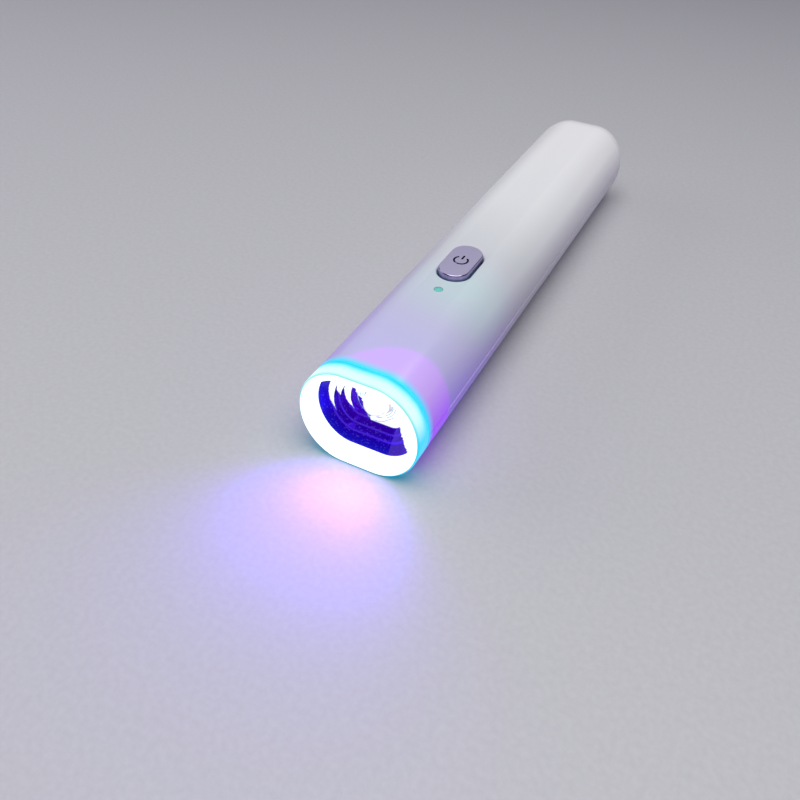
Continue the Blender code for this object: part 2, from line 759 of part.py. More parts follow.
def board_parts():
    black = black_plastic()
    chip("driver_chip", (RIGHT_COLUMN, DRIVER_ROW), DRIVER_SIZE, black)
    chip("charger_chip", (RIGHT_COLUMN, CHARGER_ROW), CHARGER_SIZE, black)
    ferrite = material("ferrite", (0.09, 0.09, 0.1), 0.7)
    chip("inductor", INDUCTOR_PLACE, INDUCTOR_SIZE, ferrite, 0.7 * MM)
    nylon = material("ivory_nylon", (0.86, 0.83, 0.74), 0.5)
    chip("lead_connector", (RIGHT_COLUMN, CONNECTOR_ROW), CONNECTOR_SIZE, nylon)
    green = material("green_led", (0.2, 0.9, 0.6), 0.3, glow=3)
    chip("indicator_led", (0, INDICATOR_Y), INDICATOR_LED_SIZE, green)
    capacitor("capacitor_left", LEFT_CAN)
    capacitor("capacitor_right", RIGHT_CAN)


def board_screws():
    head, head_height, length = 1.75 * MM, 1.2 * MM, 6.0 * MM
    corners = (("front", POST_X, POST_ROWS[0]), ("rear", -POST_X, POST_ROWS[1]))
    for end, x, row in corners:
        name = "board_screw_" + end
        place = (x, behind(row), BOARD_TOP + GAP)
        screw(name, place, (0, 0, 0), SMALL_SHANK, head, head_height, length)


def switch():
    """A tactile switch: a square body whose bore holds the plunger under the button's stem."""
    half = SWITCH_SIDE / 2
    middle = behind(BUTTON_Y)
    body = Solid().box((-half, middle - half, PART_Z), (half, middle + half, SWITCH_TOP))
    body = body.make("switch_body", black_plastic())
    bore = Solid().cylinder((0, middle), SWITCH_BORE, SWITCH_BORE_FLOOR, HEIGHT)
    cut(body, bore.make("switch_bore"))
    height = PLUNGER_TOP - PLUNGER_LOW
    edge = 0.25 * MM
    rim = [(PLUNGER_RADIUS - edge, height), (PLUNGER_RADIUS, height - edge), (PLUNGER_RADIUS, 0)]
    profile = [(0, height), *rim, (0, 0)]
    brown = material("plunger_plastic", (0.3, 0.2, 0.12), 0.5)
    turned("switch_plunger", profile, brown, (0, middle, PLUNGER_LOW), steps=20)


def power_button():
    """The plated cap, the flange that holds it under the housing, and the stem above the switch."""
    cap = rounded_outline(BUTTON_WIDTH, BUTTON_LENGTH, BUTTON_WIDTH / 2 - END_FLAT, 8)
    button = Solid().prism(cap, FLANGE_TOP - 0.4 * MM, BUTTON_TOP).make("power_button", plated_button())
    button.location = (0, behind(BUTTON_Y), 0)
    bevel(button, BUTTON_BEVEL, 3, 60)
    flange = rounded_outline(FLANGE_WIDTH, FLANGE_LENGTH, FLANGE_WIDTH / 2 - END_FLAT, 6)
    base = Solid().prism(flange, FLANGE_LOW, FLANGE_TOP).make("button_flange")
    stem = Solid().cylinder((0, 0), STEM_RADIUS, STEM_LOW, FLANGE_TOP - 0.5 * MM).make("button_stem")
    for piece in (base, stem):
        piece.location = button.location
        join(button, piece)
    return cut(button, power_symbol(button.location))


def power_symbol(location):
    """A ring open at its end towards the tail, with a bar in the opening, sunk into the cap."""
    sunk = 0.2 * MM
    outer, inner, half_gap = 1.75 * MM, 1.3 * MM, math.radians(38)
    steps = 20
    turns = [math.radians(90) + half_gap + (2 * math.pi - 2 * half_gap) * i / steps for i in range(steps + 1)]
    outline = [Vector((outer * math.cos(t), outer * math.sin(t))) for t in turns]
    outline += [Vector((inner * math.cos(t), inner * math.sin(t))) for t in reversed(turns)]
    symbol = Solid().prism(outline, BUTTON_TOP - sunk, BUTTON_TOP + MM)
    bar = 0.22 * MM
    symbol.box((-bar, 0.4 * MM, BUTTON_TOP - sunk), (bar, 2.1 * MM, BUTTON_TOP + MM))
    obj = symbol.make("power_symbol")
    obj.location = location
    return obj


def light_pipe():
    """Carries the indicator LED's light to a dot flush with the housing."""
    low = PART_Z + INDICATOR_LED_HEIGHT + GAP
    levels = [HEIGHT, FLANGE_TOP, FLANGE_LOW, low]
    top, collar_top, collar_low, foot = [level - low for level in levels]
    edge = 0.15 * MM
    profile = [
        (0, top),
        (PIPE_RADIUS - edge, top),
        (PIPE_RADIUS, top - edge),
        (PIPE_RADIUS, collar_top),
        (PIPE_COLLAR, collar_top),
        (PIPE_COLLAR, collar_low),
        (PIPE_RADIUS, collar_low),
        (PIPE_RADIUS, foot),
        (0, foot),
    ]
    clear = material("clear_green", (0.35, 0.9, 0.75), 0.1, alpha=0.8, glow=1.0)
    return turned("light_pipe", profile, clear, (0, behind(INDICATOR_Y), low), steps=20)


# Cell and charging -----------------------------------------------------------------------------------------


def cell():
    length = CELL_END - CELL_START
    groove = length - CRIMP_PLACE
    profile = [
        (0, length),
        (CELL_RADIUS - CELL_SHOULDER[0], length),
        (CELL_RADIUS, length - CELL_SHOULDER[1]),
        (CELL_RADIUS, groove + CRIMP_HALF),
        (CELL_RADIUS - CRIMP_DEPTH, groove),
        (CELL_RADIUS, groove - CRIMP_HALF),
        (CELL_RADIUS, CELL_HEEL[1]),
        (CELL_RADIUS - CELL_HEEL[0], 0),
        (0, 0),
    ]
    sleeve = material("cell_sleeve", (0.03, 0.22, 0.5), 0.3)
    turned("battery_cell", profile, sleeve, (0, behind(CELL_END), MID), FACING_LENS, steps=36)
    rise = CELL_START - GAP - CAP_START
    rim = [(CAP_RADIUS - CAP_EDGE, rise), (CAP_RADIUS, rise - CAP_EDGE), (CAP_RADIUS, 0)]
    nub = [(0, rise), *rim, (0, 0)]
    turned("battery_cap", nub, steel(), (0, behind(CELL_START - GAP), MID), FACING_LENS)


def tabs():
    """Nickel strips spot-welded to the cell's two ends."""
    front = CAP_START - GAP - TAB_THICK
    back = CELL_END + GAP
    strips = (
        ("positive_tab", front, FRONT_TAB_X, FRONT_TAB_Z),
        ("negative_tab", back, BACK_TAB_X, BACK_TAB_Z),
    )
    for name, start, (left, right), (low, high) in strips:
        strip = Solid().box((left, behind(start), low), (right, behind(start + TAB_THICK), high))
        strip.make(name, nickel_strip())


def charging_socket():
    """The charging board, and the receptacle on it: a steel shell round a moulded tongue."""
    half = CHARGE_WIDTH / 2
    low = (-half, behind(CHARGE_START), CHARGE_TOP - CHARGE_THICK)
    Solid().box(low, (half, behind(CHARGE_END), CHARGE_TOP)).make("charge_board", green_board())
    outline = rounded_outline(USB_WIDTH, USB_HEIGHT, USB_CORNER)
    shell = Solid().prism(outline, USB_START, USB_END, "Y", (0, MID)).make("usb_shell", steel())
    inner = rounded_outline(USB_WIDTH - 2 * USB_WALL, USB_HEIGHT - 2 * USB_WALL, USB_CORNER - USB_WALL)
    mouth = Solid().prism(inner, USB_START + USB_WALL, USB_END + MM, "Y", (0, MID))
    cut(shell, mouth.make("usb_mouth"))
    root = USB_START + USB_WALL + GAP
    inside = 2 * (USB_WALL + GAP)
    block = rounded_outline(USB_WIDTH - inside, USB_HEIGHT - inside, TONGUE_CORNER)
    tongue = Solid().prism(block, root, root + TONGUE_ROOT, "Y", (0, MID))
    tongue = tongue.make("usb_tongue", black_plastic())
    outline = rounded_outline(BLADE_WIDTH, BLADE_THICK, BLADE_CORNER, 2)
    blade = Solid().prism(outline, root + TONGUE_ROOT / 2, USB_END - BLADE_RECESS, "Y", (0, MID))
    join(tongue, blade.make("usb_blade"))


# Leads -----------------------------------------------------------------------------------------------------


def beside_cell(x, z):
    """Stops of a lead's straight run past the cell."""
    return [(x, row / MM, z) for row in STRAIGHT_RUN]


def led_leads():
    """From the LED board through the heat sink's notches to the front of the main board."""
    x, top = LED_LEAD_X / MM, LEAD_Z / MM
    end = (LED_BOARD_BACK + GAP) / MM
    for name, side, look in (("red", 1, red_insulation()), ("black", -1, black_insulation())):
        start = [(side * x, end, top), (side * x, 16.0, top)]
        finish = [(side * 4.2, 20.5, 18.2), (side * 3.0, 23.6, 15.6), (side * 2.4, 26.0, 15.2)]
        lead("led_lead_" + name, [*start, *finish], look)


def battery_leads():
    """From the two tabs to the connector. The black one passes the cell on its right."""
    stops = [(3.9, 63.6, 12.0), (4.2, 62.6, 13.2), (4.4, 60.4, 15.4), (3.6, 57.8, 16.3)]
    lead("battery_lead_red", stops, red_insulation())
    start = (9.8, 130.6, 12.2)
    finish = [(9.2, 62.6, 13.6), (6.6, 59.6, 15.8), (5.8, 57.8, 16.3)]
    stops = [start, *beside_cell(SIDE_RUN / MM, LOW_RUN / MM), *finish]
    lead("battery_lead_black", stops, black_insulation())


def charge_leads():
    """From the charging board to the main board, one above the other on the cell's left."""
    start = [(-5.6, 133.4, 10.0), (-8.4, 132.0, 10.9)]
    finish = [(-9.4, 62.0, 13.4), (-7.8, 58.8, 15.4), (-7.0, 56.4, 15.2)]
    stops = [*start, *beside_cell(-SIDE_RUN / MM, LOW_RUN / MM), *finish]
    lead("charge_lead_red", stops, red_insulation())
    start = [(-5.6, 136.2, 10.0), (-6.6, 134.4, 11.6), (-8.2, 131.8, 12.9)]
    finish = [(-8.2, 62.0, 15.0), (-5.9, 58.8, 16.2), (-4.8, 56.4, 15.2)]
    stops = [*start, *beside_cell(0.2 - SIDE_RUN / MM, HIGH_RUN / MM), *finish]
    lead("charge_lead_black", stops, black_insulation())


def case_screws():
    head, head_height, length = 2.0 * MM, 1.5 * MM, 12.0 * MM
    for name, row in zip(("case_screw_front", "case_screw_rear"), CASE_SCREWS):
        place = (0, behind(row), COUNTERBORE_DEPTH - GAP)
        screw(name, place, HEAD_DOWN, CASE_SHANK, head, head_height, length)


def main():
    clear_scene()
    new_collection(PARTS)
    new_collection(CUTTERS)
    core = feature_core()
    port = usb_opening()
    upper_shell(core, port)
    lower_shell(core, port)
    front_bezel()
    reflector()
    led()
    led_board()
    heat_sink()
    led_screws()
    main_board()
    board_parts()
    board_screws()
    switch()
    power_button()
    light_pipe()
    cell()
    tabs()
    charging_socket()
    led_leads()
    battery_leads()
    charge_leads()
    case_screws()


main()
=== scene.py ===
"""Looks for the hand-held UV curing lamp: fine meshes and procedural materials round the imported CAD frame.

Everything is in metres in the CAD's frame: +Z up, the lens faces -Y, the underside lies at Z = 0. Places
along the lamp are given as the distance behind the lens face.
"""

import math

import bmesh
import bpy
from mathutils import Matrix, Quaternion, Vector


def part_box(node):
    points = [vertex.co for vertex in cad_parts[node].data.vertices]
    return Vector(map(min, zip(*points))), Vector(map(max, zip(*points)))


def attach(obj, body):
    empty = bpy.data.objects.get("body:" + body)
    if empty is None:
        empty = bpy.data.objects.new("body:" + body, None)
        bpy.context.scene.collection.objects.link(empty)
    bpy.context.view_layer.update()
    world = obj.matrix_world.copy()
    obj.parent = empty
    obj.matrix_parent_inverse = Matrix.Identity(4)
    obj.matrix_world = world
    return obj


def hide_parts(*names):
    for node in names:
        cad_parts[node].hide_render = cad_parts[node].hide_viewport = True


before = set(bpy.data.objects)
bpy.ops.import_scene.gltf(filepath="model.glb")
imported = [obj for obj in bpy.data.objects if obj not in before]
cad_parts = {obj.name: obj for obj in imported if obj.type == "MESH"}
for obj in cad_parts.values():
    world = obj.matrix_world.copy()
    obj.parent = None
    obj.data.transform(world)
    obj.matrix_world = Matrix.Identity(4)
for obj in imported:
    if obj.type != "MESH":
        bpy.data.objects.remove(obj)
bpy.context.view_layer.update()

MM = 0.001
GAP = 0.3 * MM
SEAM_GAP = 0.12 * MM
WALL = 1.6 * MM
FLAT = 6.8 * MM  # width of the flat on the top and on the underside
ARC_STEPS = 28  # facets in each quarter of the section
TAIL_LENGTH = 6.5 * MM
TAIL_INSET = 2.6 * MM

BEZEL_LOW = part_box("front_bezel")[0]
UPPER_LOW, UPPER_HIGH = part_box("upper_shell")
BUTTON_LOW, BUTTON_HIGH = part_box("power_button")
PIPE_LOW, PIPE_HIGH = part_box("light_pipe")
USB_LOW, USB_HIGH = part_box("usb_shell")
LENS_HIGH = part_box("led_lens")[1]

FRONT = BEZEL_LOW.y
LENGTH = UPPER_HIGH.y - FRONT
WIDTH = UPPER_HIGH.x - UPPER_LOW.x
HEIGHT = UPPER_HIGH.z
MID = HEIGHT / 2
BEZEL_DEPTH = 4.2 * MM
BEZEL_BORE = 1.75 * MM
SPIGOT_OUT = 1.0 * MM
SPIGOT_END = 7.2 * MM
SHELL_START = BEZEL_DEPTH + 0.15 * MM
SEAM_EDGE = 0.22 * MM
FEATURE_INSET = 0.8 * MM  # how deep ribs and bosses root in the wall
LIP_HEIGHT = 1.1 * MM
LIP_OUT = 0.95 * MM
LIP_IN = 1.5 * MM
BOSS_SPLIT = 8.0 * MM
BUTTON_Y = (BUTTON_LOW.y + BUTTON_HIGH.y) / 2
BUTTON_TOP = BUTTON_HIGH.z
BUTTON_WIDTH = 7.0 * MM
BUTTON_LENGTH = 13.6 * MM
OPENING_ROUND = 0.6 * MM
PIPE_Y = (PIPE_LOW.y + PIPE_HIGH.y) / 2
PIPE_RADIUS = 0.9 * MM
PIPE_PLAY = 0.1 * MM
FLANGE_LOW = 19.0 * MM  # the button's and the light pipe's flanges lie between these heights
FLANGE_HIGH = 20.0 * MM
CUP_START = 4.0 * MM
# Depth and inset at the foot of each of the reflector's walls
CUP_STEPS = ((5.3 * MM, 3.9 * MM), (6.4 * MM, 5.0 * MM), (7.6 * MM, 6.3 * MM))
CUP_FLOOR = 8.3 * MM
SCREW_BORE = 1.25 * MM
POST_X = 6.2 * MM
SADDLE_ROWS = (72.0 * MM, 98.0 * MM, 124.0 * MM)
CASE_SCREWS = ("case_screw_front", "case_screw_rear")
BOARD_SCREWS = ("board_screw_front", "board_screw_rear")
LED_SCREWS = ("led_screw_left", "led_screw_right")

UPRIGHT = Matrix.Identity(4)
FACING_LENS = Matrix.Rotation(math.radians(90), 4, "X")
HEAD_DOWN = Matrix.Rotation(math.radians(180), 4, "X")

TOUCHING = 1e-7  # points closer together than this are one point
NOISE_LOW = 0.3  # most values of a noise texture lie between these two
NOISE_HIGH = 0.7


def behind(distance):
    """Y of a place that far behind the lens face."""
    return FRONT + distance


def middle(node):
    low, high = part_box(node)
    return (low + high) / 2


# Camera, floor and light -----------------------------------------------------------------------------------


def add_camera():
    place = Vector((55.13, -167.90, 115.79)) * MM
    target = Vector((3.57, -59.18, 11.0)) * MM
    roll = math.radians(2.61)
    data = bpy.data.cameras.new("camera")
    data.sensor_width = 36.0
    data.lens = 36.63
    data.clip_start = 0.01
    data.dof.use_dof = False
    camera = bpy.data.objects.new("camera", data)
    bpy.context.scene.collection.objects.link(camera)
    camera.location = place
    aim = (target - place).to_track_quat("-Z", "Y")
    camera.rotation_mode = "QUATERNION"
    camera.rotation_quaternion = aim @ Quaternion((0, 0, 1), roll)
    bpy.context.scene.camera = camera


def add_floor():
    reach, drop = 1.5, 0.02 * MM
    corners = [(-reach, -reach), (reach, -reach), (reach, reach), (-reach, reach)]
    mesh = bpy.data.meshes.new("floor")
    mesh.from_pydata([(x, y, -drop) for x, y in corners], [], [(0, 1, 2, 3)])
    floor = bpy.data.objects.new("floor", mesh)
    bpy.context.scene.collection.objects.link(floor)
    mesh.materials.append(floor_paper())


def aim_light(name, data, place, target, power, colour):
    """Puts a light at a place, facing the target."""
    data.energy = power
    data.color = colour
    light = bpy.data.objects.new(name, data)
    bpy.context.scene.collection.objects.link(light)
    light.location = place
    light.rotation_euler = (Vector(target) - Vector(place)).to_track_quat("-Z", "Y").to_euler()


def area_light(name, place, target, size, power, colour):
    data = bpy.data.lights.new(name, "AREA")
    data.shape = "RECTANGLE"
    data.size, data.size_y = size
    aim_light(name, data, place, target, power, colour)


def add_lights():
    """Three soft lights, a dim world and the beam's spill on the floor ahead of the lens."""
    bpy.context.scene.view_settings.view_transform = "Standard"
    world = bpy.data.worlds.new("studio")
    bpy.context.scene.world = world
    world.use_nodes = True
    background = world.node_tree.nodes["Background"]
    background.inputs["Color"].default_value = (0.62, 0.56, 1.0, 1)
    background.inputs["Strength"].default_value = 0.08
    soft_lights = (
        # name, place, target, size, power, colour
        ("key", (0.07, -0.12, 0.60), (0, 0, 0), (0.6, 0.55), 4.0, (1.0, 1.0, 0.98)),
        ("fill", (-0.50, -0.10, 0.22), (0, -0.02, 0), (0.4, 0.3), 0.6, (0.95, 0.94, 1.0)),
        ("edge", (0.30, 0.34, 0.07), (0, 0.03, 0.01), (0.3, 0.10), 0.06, (0.85, 0.75, 1.0)),
    )
    for light in soft_lights:
        area_light(*light)
    beam = bpy.data.lights.new("spill", "SPOT")
    beam.spot_size = math.radians(130)
    beam.spot_blend = 1.0
    beam.shadow_soft_size = 3 * MM
    start = (0.0, behind(-1.0 * MM), MID)
    target = (0, behind(-45 * MM), -14 * MM)
    aim_light("spill", beam, start, target, 0.09, (0.14, 0.02, 1.0))


# Materials -------------------------------------------------------------------------------------------------


class Look:
    """A Principled material and short ways to add nodes to it."""

    def __init__(self, name, colour, roughness, **settings):
        self.material = bpy.data.materials.new(name)
        self.material.use_nodes = True
        self.tree = self.material.node_tree
        self.shader = self.tree.nodes["Principled BSDF"]
        self.set("Base Color", (*colour, 1))
        self.set("Roughness", roughness)
        for socket, value in settings.items():
            self.set(socket.replace("_", " ").title().replace("Ior", "IOR"), value)
        self.place = self.node("ShaderNodeTexCoord").outputs["Object"]

    def set(self, name, value):
        socket = self.shader.inputs[name]
        if socket.type == "RGBA" and len(value) == 3:
            value = (*value, 1)
        socket.default_value = value

    def node(self, kind, **settings):
        made = self.tree.nodes.new(kind)
        for name, value in settings.items():
            setattr(made, name, value)
        return made

    def link(self, output, target):
        self.tree.links.new(output, target)

    def feed(self, socket, value):
        """Gives a socket a number, a colour or another node's output."""
        if isinstance(value, (int, float)):
            socket.default_value = value
        elif isinstance(value, tuple):
            socket.default_value = (*value, 1)
        else:
            self.link(value, socket)

    def axis(self, name):
        split = self.node("ShaderNodeSeparateXYZ")
        self.link(self.place, split.inputs["Vector"])
        return split.outputs[name]

    def depth(self):
        """Distance behind the lens face."""
        return self.maths("SUBTRACT", self.axis("Y"), FRONT)

    def noise(self, scale, detail=3.0, roughness=0.5, stretch=None):
        noise = self.node("ShaderNodeTexNoise")
        noise.inputs["Scale"].default_value = scale
        noise.inputs["Detail"].default_value = detail
        noise.inputs["Roughness"].default_value = roughness
        source = self.place
        if stretch:
            mapping = self.node("ShaderNodeMapping")
            mapping.inputs["Scale"].default_value = stretch
            self.link(source, mapping.inputs["Vector"])
            source = mapping.outputs["Vector"]
        self.link(source, noise.inputs["Vector"])
        return noise.outputs["Fac"]

    def maths(self, operation, one, other):
        node = self.node("ShaderNodeMath", operation=operation)
        for socket, value in zip(node.inputs, (one, other)):
            self.feed(socket, value)
        return node.outputs["Value"]

    def gap(self, value, place):
        """How far a value is from a place, either way."""
        return self.maths("ABSOLUTE", self.maths("SUBTRACT", value, place), 0)

    def squares(self, one, other):
        """The sum of two values' squares."""
        return self.maths("ADD", self.maths("MULTIPLY", one, one), self.maths("MULTIPLY", other, other))

    def spread(self, value, low, high, to_low=0.0, to_high=1.0):
        """Maps a value between two limits to 0 to 1, or to two other limits."""
        spread = self.node("ShaderNodeMapRange")
        spread.inputs["From Min"].default_value = low
        spread.inputs["From Max"].default_value = high
        spread.inputs["To Min"].default_value = to_low
        spread.inputs["To Max"].default_value = to_high
        self.link(value, spread.inputs["Value"])
        return spread.outputs["Result"]

    def swing(self, noise, reach):
        """Turns a noise into a shift of up to reach, either way."""
        return self.spread(noise, NOISE_LOW, NOISE_HIGH, -reach, reach)

    def over(self, value, limit, soft=0.12 * MM):
        """0 below a limit and 1 above it, with a soft step."""
        return self.spread(value, limit - soft, limit + soft)

    def ramp(self, factor, stops):
        """Maps a factor through (position, colour) stops."""
        node = self.node("ShaderNodeValToRGB")
        elements = node.color_ramp.elements
        elements[0].position = stops[0][0]
        elements[1].position = stops[-1][0]
        for position, colour in stops[1:-1]:
            elements.new(position)
        for element, (position, colour) in zip(elements, stops):
            element.color = (*colour, 1)
        self.link(factor, node.inputs["Fac"])
        return node.outputs["Color"]

    def blend(self, noise, one, other):
        """Spreads two colours over a noise."""
        return self.ramp(noise, [(NOISE_LOW, one), (NOISE_HIGH, other)])

    def mix(self, factor, one, other):
        node = self.node("ShaderNodeMix", data_type="RGBA")
        self.link(factor, node.inputs["Factor"])
        # Inputs 6 and 7 and output 2 are the node's colours
        self.feed(node.inputs[6], one)
        self.feed(node.inputs[7], other)
        return node.outputs[2]

    def colour(self, output):
        self.link(output, self.shader.inputs["Base Color"])

    def glow(self, output, strength):
        self.link(output, self.shader.inputs["Emission Color"])
        self.set("Emission Strength", strength)

    def vary(self, socket, noise, low, high):
        self.link(self.spread(noise, NOISE_LOW, NOISE_HIGH, low, high), self.shader.inputs[socket])

    def bump(self, height, strength, distance):
        node = self.node("ShaderNodeBump")
        node.inputs["Strength"].default_value = strength
        node.inputs["Distance"].default_value = distance
        self.link(height, node.inputs["Height"])
        self.link(node.outputs["Normal"], self.shader.inputs["Normal"])


def floor_paper():
    look = Look("floor_paper", (0.7, 0.7, 0.72), 0.55)
    grain = look.noise(900, 4)
    look.colour(look.blend(grain, (0.50, 0.50, 0.53), (0.54, 0.54, 0.57)))
    look.bump(grain, 0.12, 0.1 * MM)
    return look.material


def violet_patch(look, depth):
    """1 inside an ellipse round the right of the lens end, where the LED's violet light is painted on the
    housing, and 0 outside it.
    """
    centre, half_width, length = 9 * MM, 15.5 * MM, 14.3 * MM
    across = look.maths("DIVIDE", look.maths("SUBTRACT", look.axis("X"), centre), half_width)
    along = look.maths("DIVIDE", depth, length)
    return look.spread(look.squares(across, along), 1.1, 0.9)


def housing_shades(look, depth, shifted, low):
    """The plastic's base colour, greyer and bluer towards the lens end and lightest at the tail, with
    painted shade that makes it darker and more lavender low down and on the left.
    """
    upper_shades = [
        (0.11, (0.50, 0.53, 0.62)),
        (0.32, (0.60, 0.62, 0.66)),
        (0.57, (0.78, 0.80, 0.82)),
        (0.93, (0.92, 0.92, 0.93)),
    ]
    # Painted shade: the lower colours are darker and more lavender than the white plastic
    lower_painted_shades = [
        (0.11, (0.34, 0.28, 0.52)),
        (0.32, (0.44, 0.39, 0.56)),
        (0.57, (0.53, 0.48, 0.62)),
        (0.93, (0.64, 0.59, 0.71)),
    ]
    left_painted_shade, seam_highlight = (0.40, 0.29, 0.58), (0.66, 0.62, 0.78)
    far = look.spread(shifted, 0, 140 * MM)
    base = look.mix(low, look.ramp(far, upper_shades), look.ramp(far, lower_painted_shades))
    # Painted shade on the left side, strongest towards the lens end
    left = look.spread(look.axis("X"), -7.0 * MM, -11.5 * MM)
    left = look.maths("MULTIPLY", left, look.spread(depth, 85 * MM, 30 * MM, 0.0, 0.75))
    base = look.mix(left, base, left_painted_shade)
    # Painted highlight: a thin lighter line along the seam
    from_edge = look.gap(look.axis("Z"), MID - 0.32 * MM)
    return look.mix(look.spread(from_edge, 0.24 * MM, 0.12 * MM), base, seam_highlight)


def green_cast(look, depth):
    """Painted light: the indicator's faint green glow on the housing's top, strongest just behind it on the
    right.
    """
    aside = look.maths("SUBTRACT", look.axis("X"), 4 * MM)
    beyond = look.maths("SUBTRACT", depth, PIPE_Y - FRONT + 3 * MM)
    away = look.maths("POWER", look.squares(aside, beyond), 0.5)
    on_top = look.spread(look.axis("Z"), 12 * MM, 18 * MM)
    return look.maths("MULTIPLY", look.spread(away, 15 * MM, 3 * MM, 0.0, 0.8), on_top)


def housing_plastic():
    """White plastic with painted light behind the lens end: the ring's cyan glow, then the LED's violet and
    lavender glow.
    """
    look = Look("housing_plastic", (0.83, 0.83, 0.85), 0.24, coat_weight=0.08, coat_roughness=0.12, ior=1.38)
    dark = (0.0, 0.0, 0.0)
    green, cyan, ring_lit_cyan = (0.0, 0.11, 0.09), (0.0, 0.42, 0.68), (0.04, 0.42, 0.50)
    depth = look.depth()
    shifted = look.maths("ADD", depth, look.swing(look.noise(60, 3), 0.9 * MM))
    low = look.spread(look.axis("Z"), 18 * MM, 8 * MM)
    # Painted light: the LED's violet and lavender glow on the housing, as the patch's base colour and as
    # emission, deeper low down
    violet_lit_base = look.mix(low, (0.50, 0.49, 0.68), (0.22, 0.13, 0.52))
    lavender = look.mix(low, (0.05, 0.0, 0.21), (0.07, 0.0, 0.44))
    violet = look.mix(low, (0.17, 0.0, 0.36), (0.21, 0.0, 0.72))
    patch = violet_patch(look, shifted)
    base = look.mix(patch, housing_shades(look, depth, shifted, low), violet_lit_base)
    reach = look.maths("POWER", look.spread(shifted, 60 * MM, 12 * MM), 1.6)
    spill = look.mix(patch, look.mix(reach, dark, lavender), violet)
    # Painted light: the indicator's green glow
    spill = look.mix(green_cast(look, depth), spill, green)
    # Painted light: the ring's cyan glow on the first two millimetres, in the base colour and the emission
    ring_glow_share = look.maths("POWER", look.spread(depth, 6.5 * MM, SHELL_START), 1.3)
    look.colour(look.mix(ring_glow_share, base, ring_lit_cyan))
    look.glow(look.mix(ring_glow_share, spill, cyan), 1.0)
    look.vary("Roughness", look.noise(260, 3), 0.25, 0.27)
    look.bump(look.noise(1400, 2), 0.01, 0.03 * MM)
    return look.material


def lit_rim():
    """Milky plastic lit from behind until its face and bore are white."""
    look = Look("lit_rim", (0.8, 0.88, 0.9), 0.25, coat_weight=0.2, coat_roughness=0.1)
    cloud = look.noise(320, 3)
    look.colour(look.blend(cloud, (0.76, 0.88, 0.9), (0.84, 0.9, 0.9)))
    look.glow(look.blend(cloud, (0.86, 0.98, 1.0), (1.0, 1.0, 1.0)), 1.1)
    look.bump(cloud, 0.03, 0.05 * MM)
    return look.material


def lit_band():
    """The ring's outer band: a mint line at the front corner, pale cyan, then saturated cyan at the rear."""
    look = Look("lit_band", (0.03, 0.14, 0.17), 0.3, coat_weight=0.15, coat_roughness=0.12)
    stops = [
        (0.0, (0.60, 1.0, 0.95)),
        (0.02, (0.30, 0.74, 0.66)),
        (0.06, (0.42, 0.86, 0.80)),
        (0.14, (0.74, 1.0, 1.0)),
        (0.45, (0.72, 1.0, 1.0)),
        (0.60, (0.55, 1.0, 1.0)),
        (0.74, (0.26, 0.86, 0.95)),
        (0.86, (0.05, 0.68, 0.85)),
        (0.95, (0.0, 0.54, 0.74)),
        (1.0, (0.0, 0.44, 0.66)),
    ]
    depth = look.depth()
    cloud = look.noise(240, 3)
    # The tones waver everywhere but at the front corner
    behind_corner = look.spread(depth, 0.3 * MM, 0.9 * MM)
    wobble = look.maths("MULTIPLY", look.swing(cloud, 0.16 * MM), behind_corner)
    share = look.spread(look.maths("ADD", depth, wobble), 0, BEZEL_DEPTH)
    lower = look.spread(look.axis("Z"), 17.5 * MM, 12 * MM)
    look.glow(look.mix(lower, look.ramp(share, stops), (0.0, 0.60, 0.86)), 1.0)
    look.colour(look.blend(cloud, (0.02, 0.12, 0.15), (0.04, 0.17, 0.20)))
    look.bump(look.noise(900, 2), 0.03, 0.05 * MM)
    return look.material


def cup_shades(look, depth):
    """Painted reflection of the LED's violet light in the cup, lighter over the right end, with light grains
    and a thin line at the foot of each wall.
    """
    shades = [
        (0.0, (0.010, 0.008, 0.58)),
        (0.18, (0.010, 0.002, 0.50)),
        (0.30, (0.018, 0.0, 0.42)),
        (0.62, (0.026, 0.0, 0.36)),
        (1.0, (0.045, 0.0, 0.50)),
    ]
    right_end_glow, grain_shade, line_shade = (0.085, 0.035, 0.56), (0.12, 0.08, 0.75), (0.14, 0.06, 0.72)
    base = look.ramp(look.spread(depth, CUP_START, CUP_FLOOR), shades)
    # The painted reflection is lighter over the cup's right end
    right_end = look.over(look.axis("X"), 4.7 * MM, 0.03 * MM)
    base = look.mix(look.maths("MULTIPLY", right_end, 0.8), base, right_end_glow)
    grains = look.spread(look.noise(2600, 2), 0.58, 0.68, 0.0, 0.45)
    base = look.mix(grains, base, grain_shade)
    for foot, inset in CUP_STEPS:
        line = look.spread(look.gap(depth, foot + 0.08 * MM), 0.08 * MM, 0.03 * MM)
        base = look.mix(look.maths("MULTIPLY", line, 0.35), base, line_shade)
    return base


def cup_glare(look, depth, at_floor):
    """1 where painted glare makes the cup white: the right wall, the floor round the LED, and a wedge along
    each ledge.
    """
    ragged = look.swing(look.noise(1500, 5, 0.6), 0.5 * MM)
    height = look.maths("ADD", look.axis("Z"), ragged)
    jagged = look.maths("ADD", look.axis("X"), look.maths("MULTIPLY", ragged, 0.4))
    wall = look.maths("ADD", jagged, look.maths("MULTIPLY", height, 0.36))
    wall = look.maths("ADD", wall, look.maths("MULTIPLY", depth, 0.75))
    floor = look.maths("ADD", jagged, look.maths("MULTIPLY", height, 0.655))
    floor = look.maths("MULTIPLY", look.over(floor, 3.0 * MM), at_floor)
    glare = look.maths("MAXIMUM", look.over(wall, 13.6 * MM), floor)
    # Each wedge's depth, the height of its point and how fast it widens above that
    for ledge, foot, growth in ((5.5, 8.0, 0.08), (6.6, 10.8, 0.20), (7.75, 7.8, 0.12)):
        reach = look.maths("MULTIPLY", look.maths("SUBTRACT", height, foot * MM), growth)
        wedge = look.over(look.maths("SUBTRACT", reach, look.gap(depth, ledge * MM)), 0, 0.05 * MM)
        glare = look.maths("MAXIMUM", glare, wedge)
    return glare


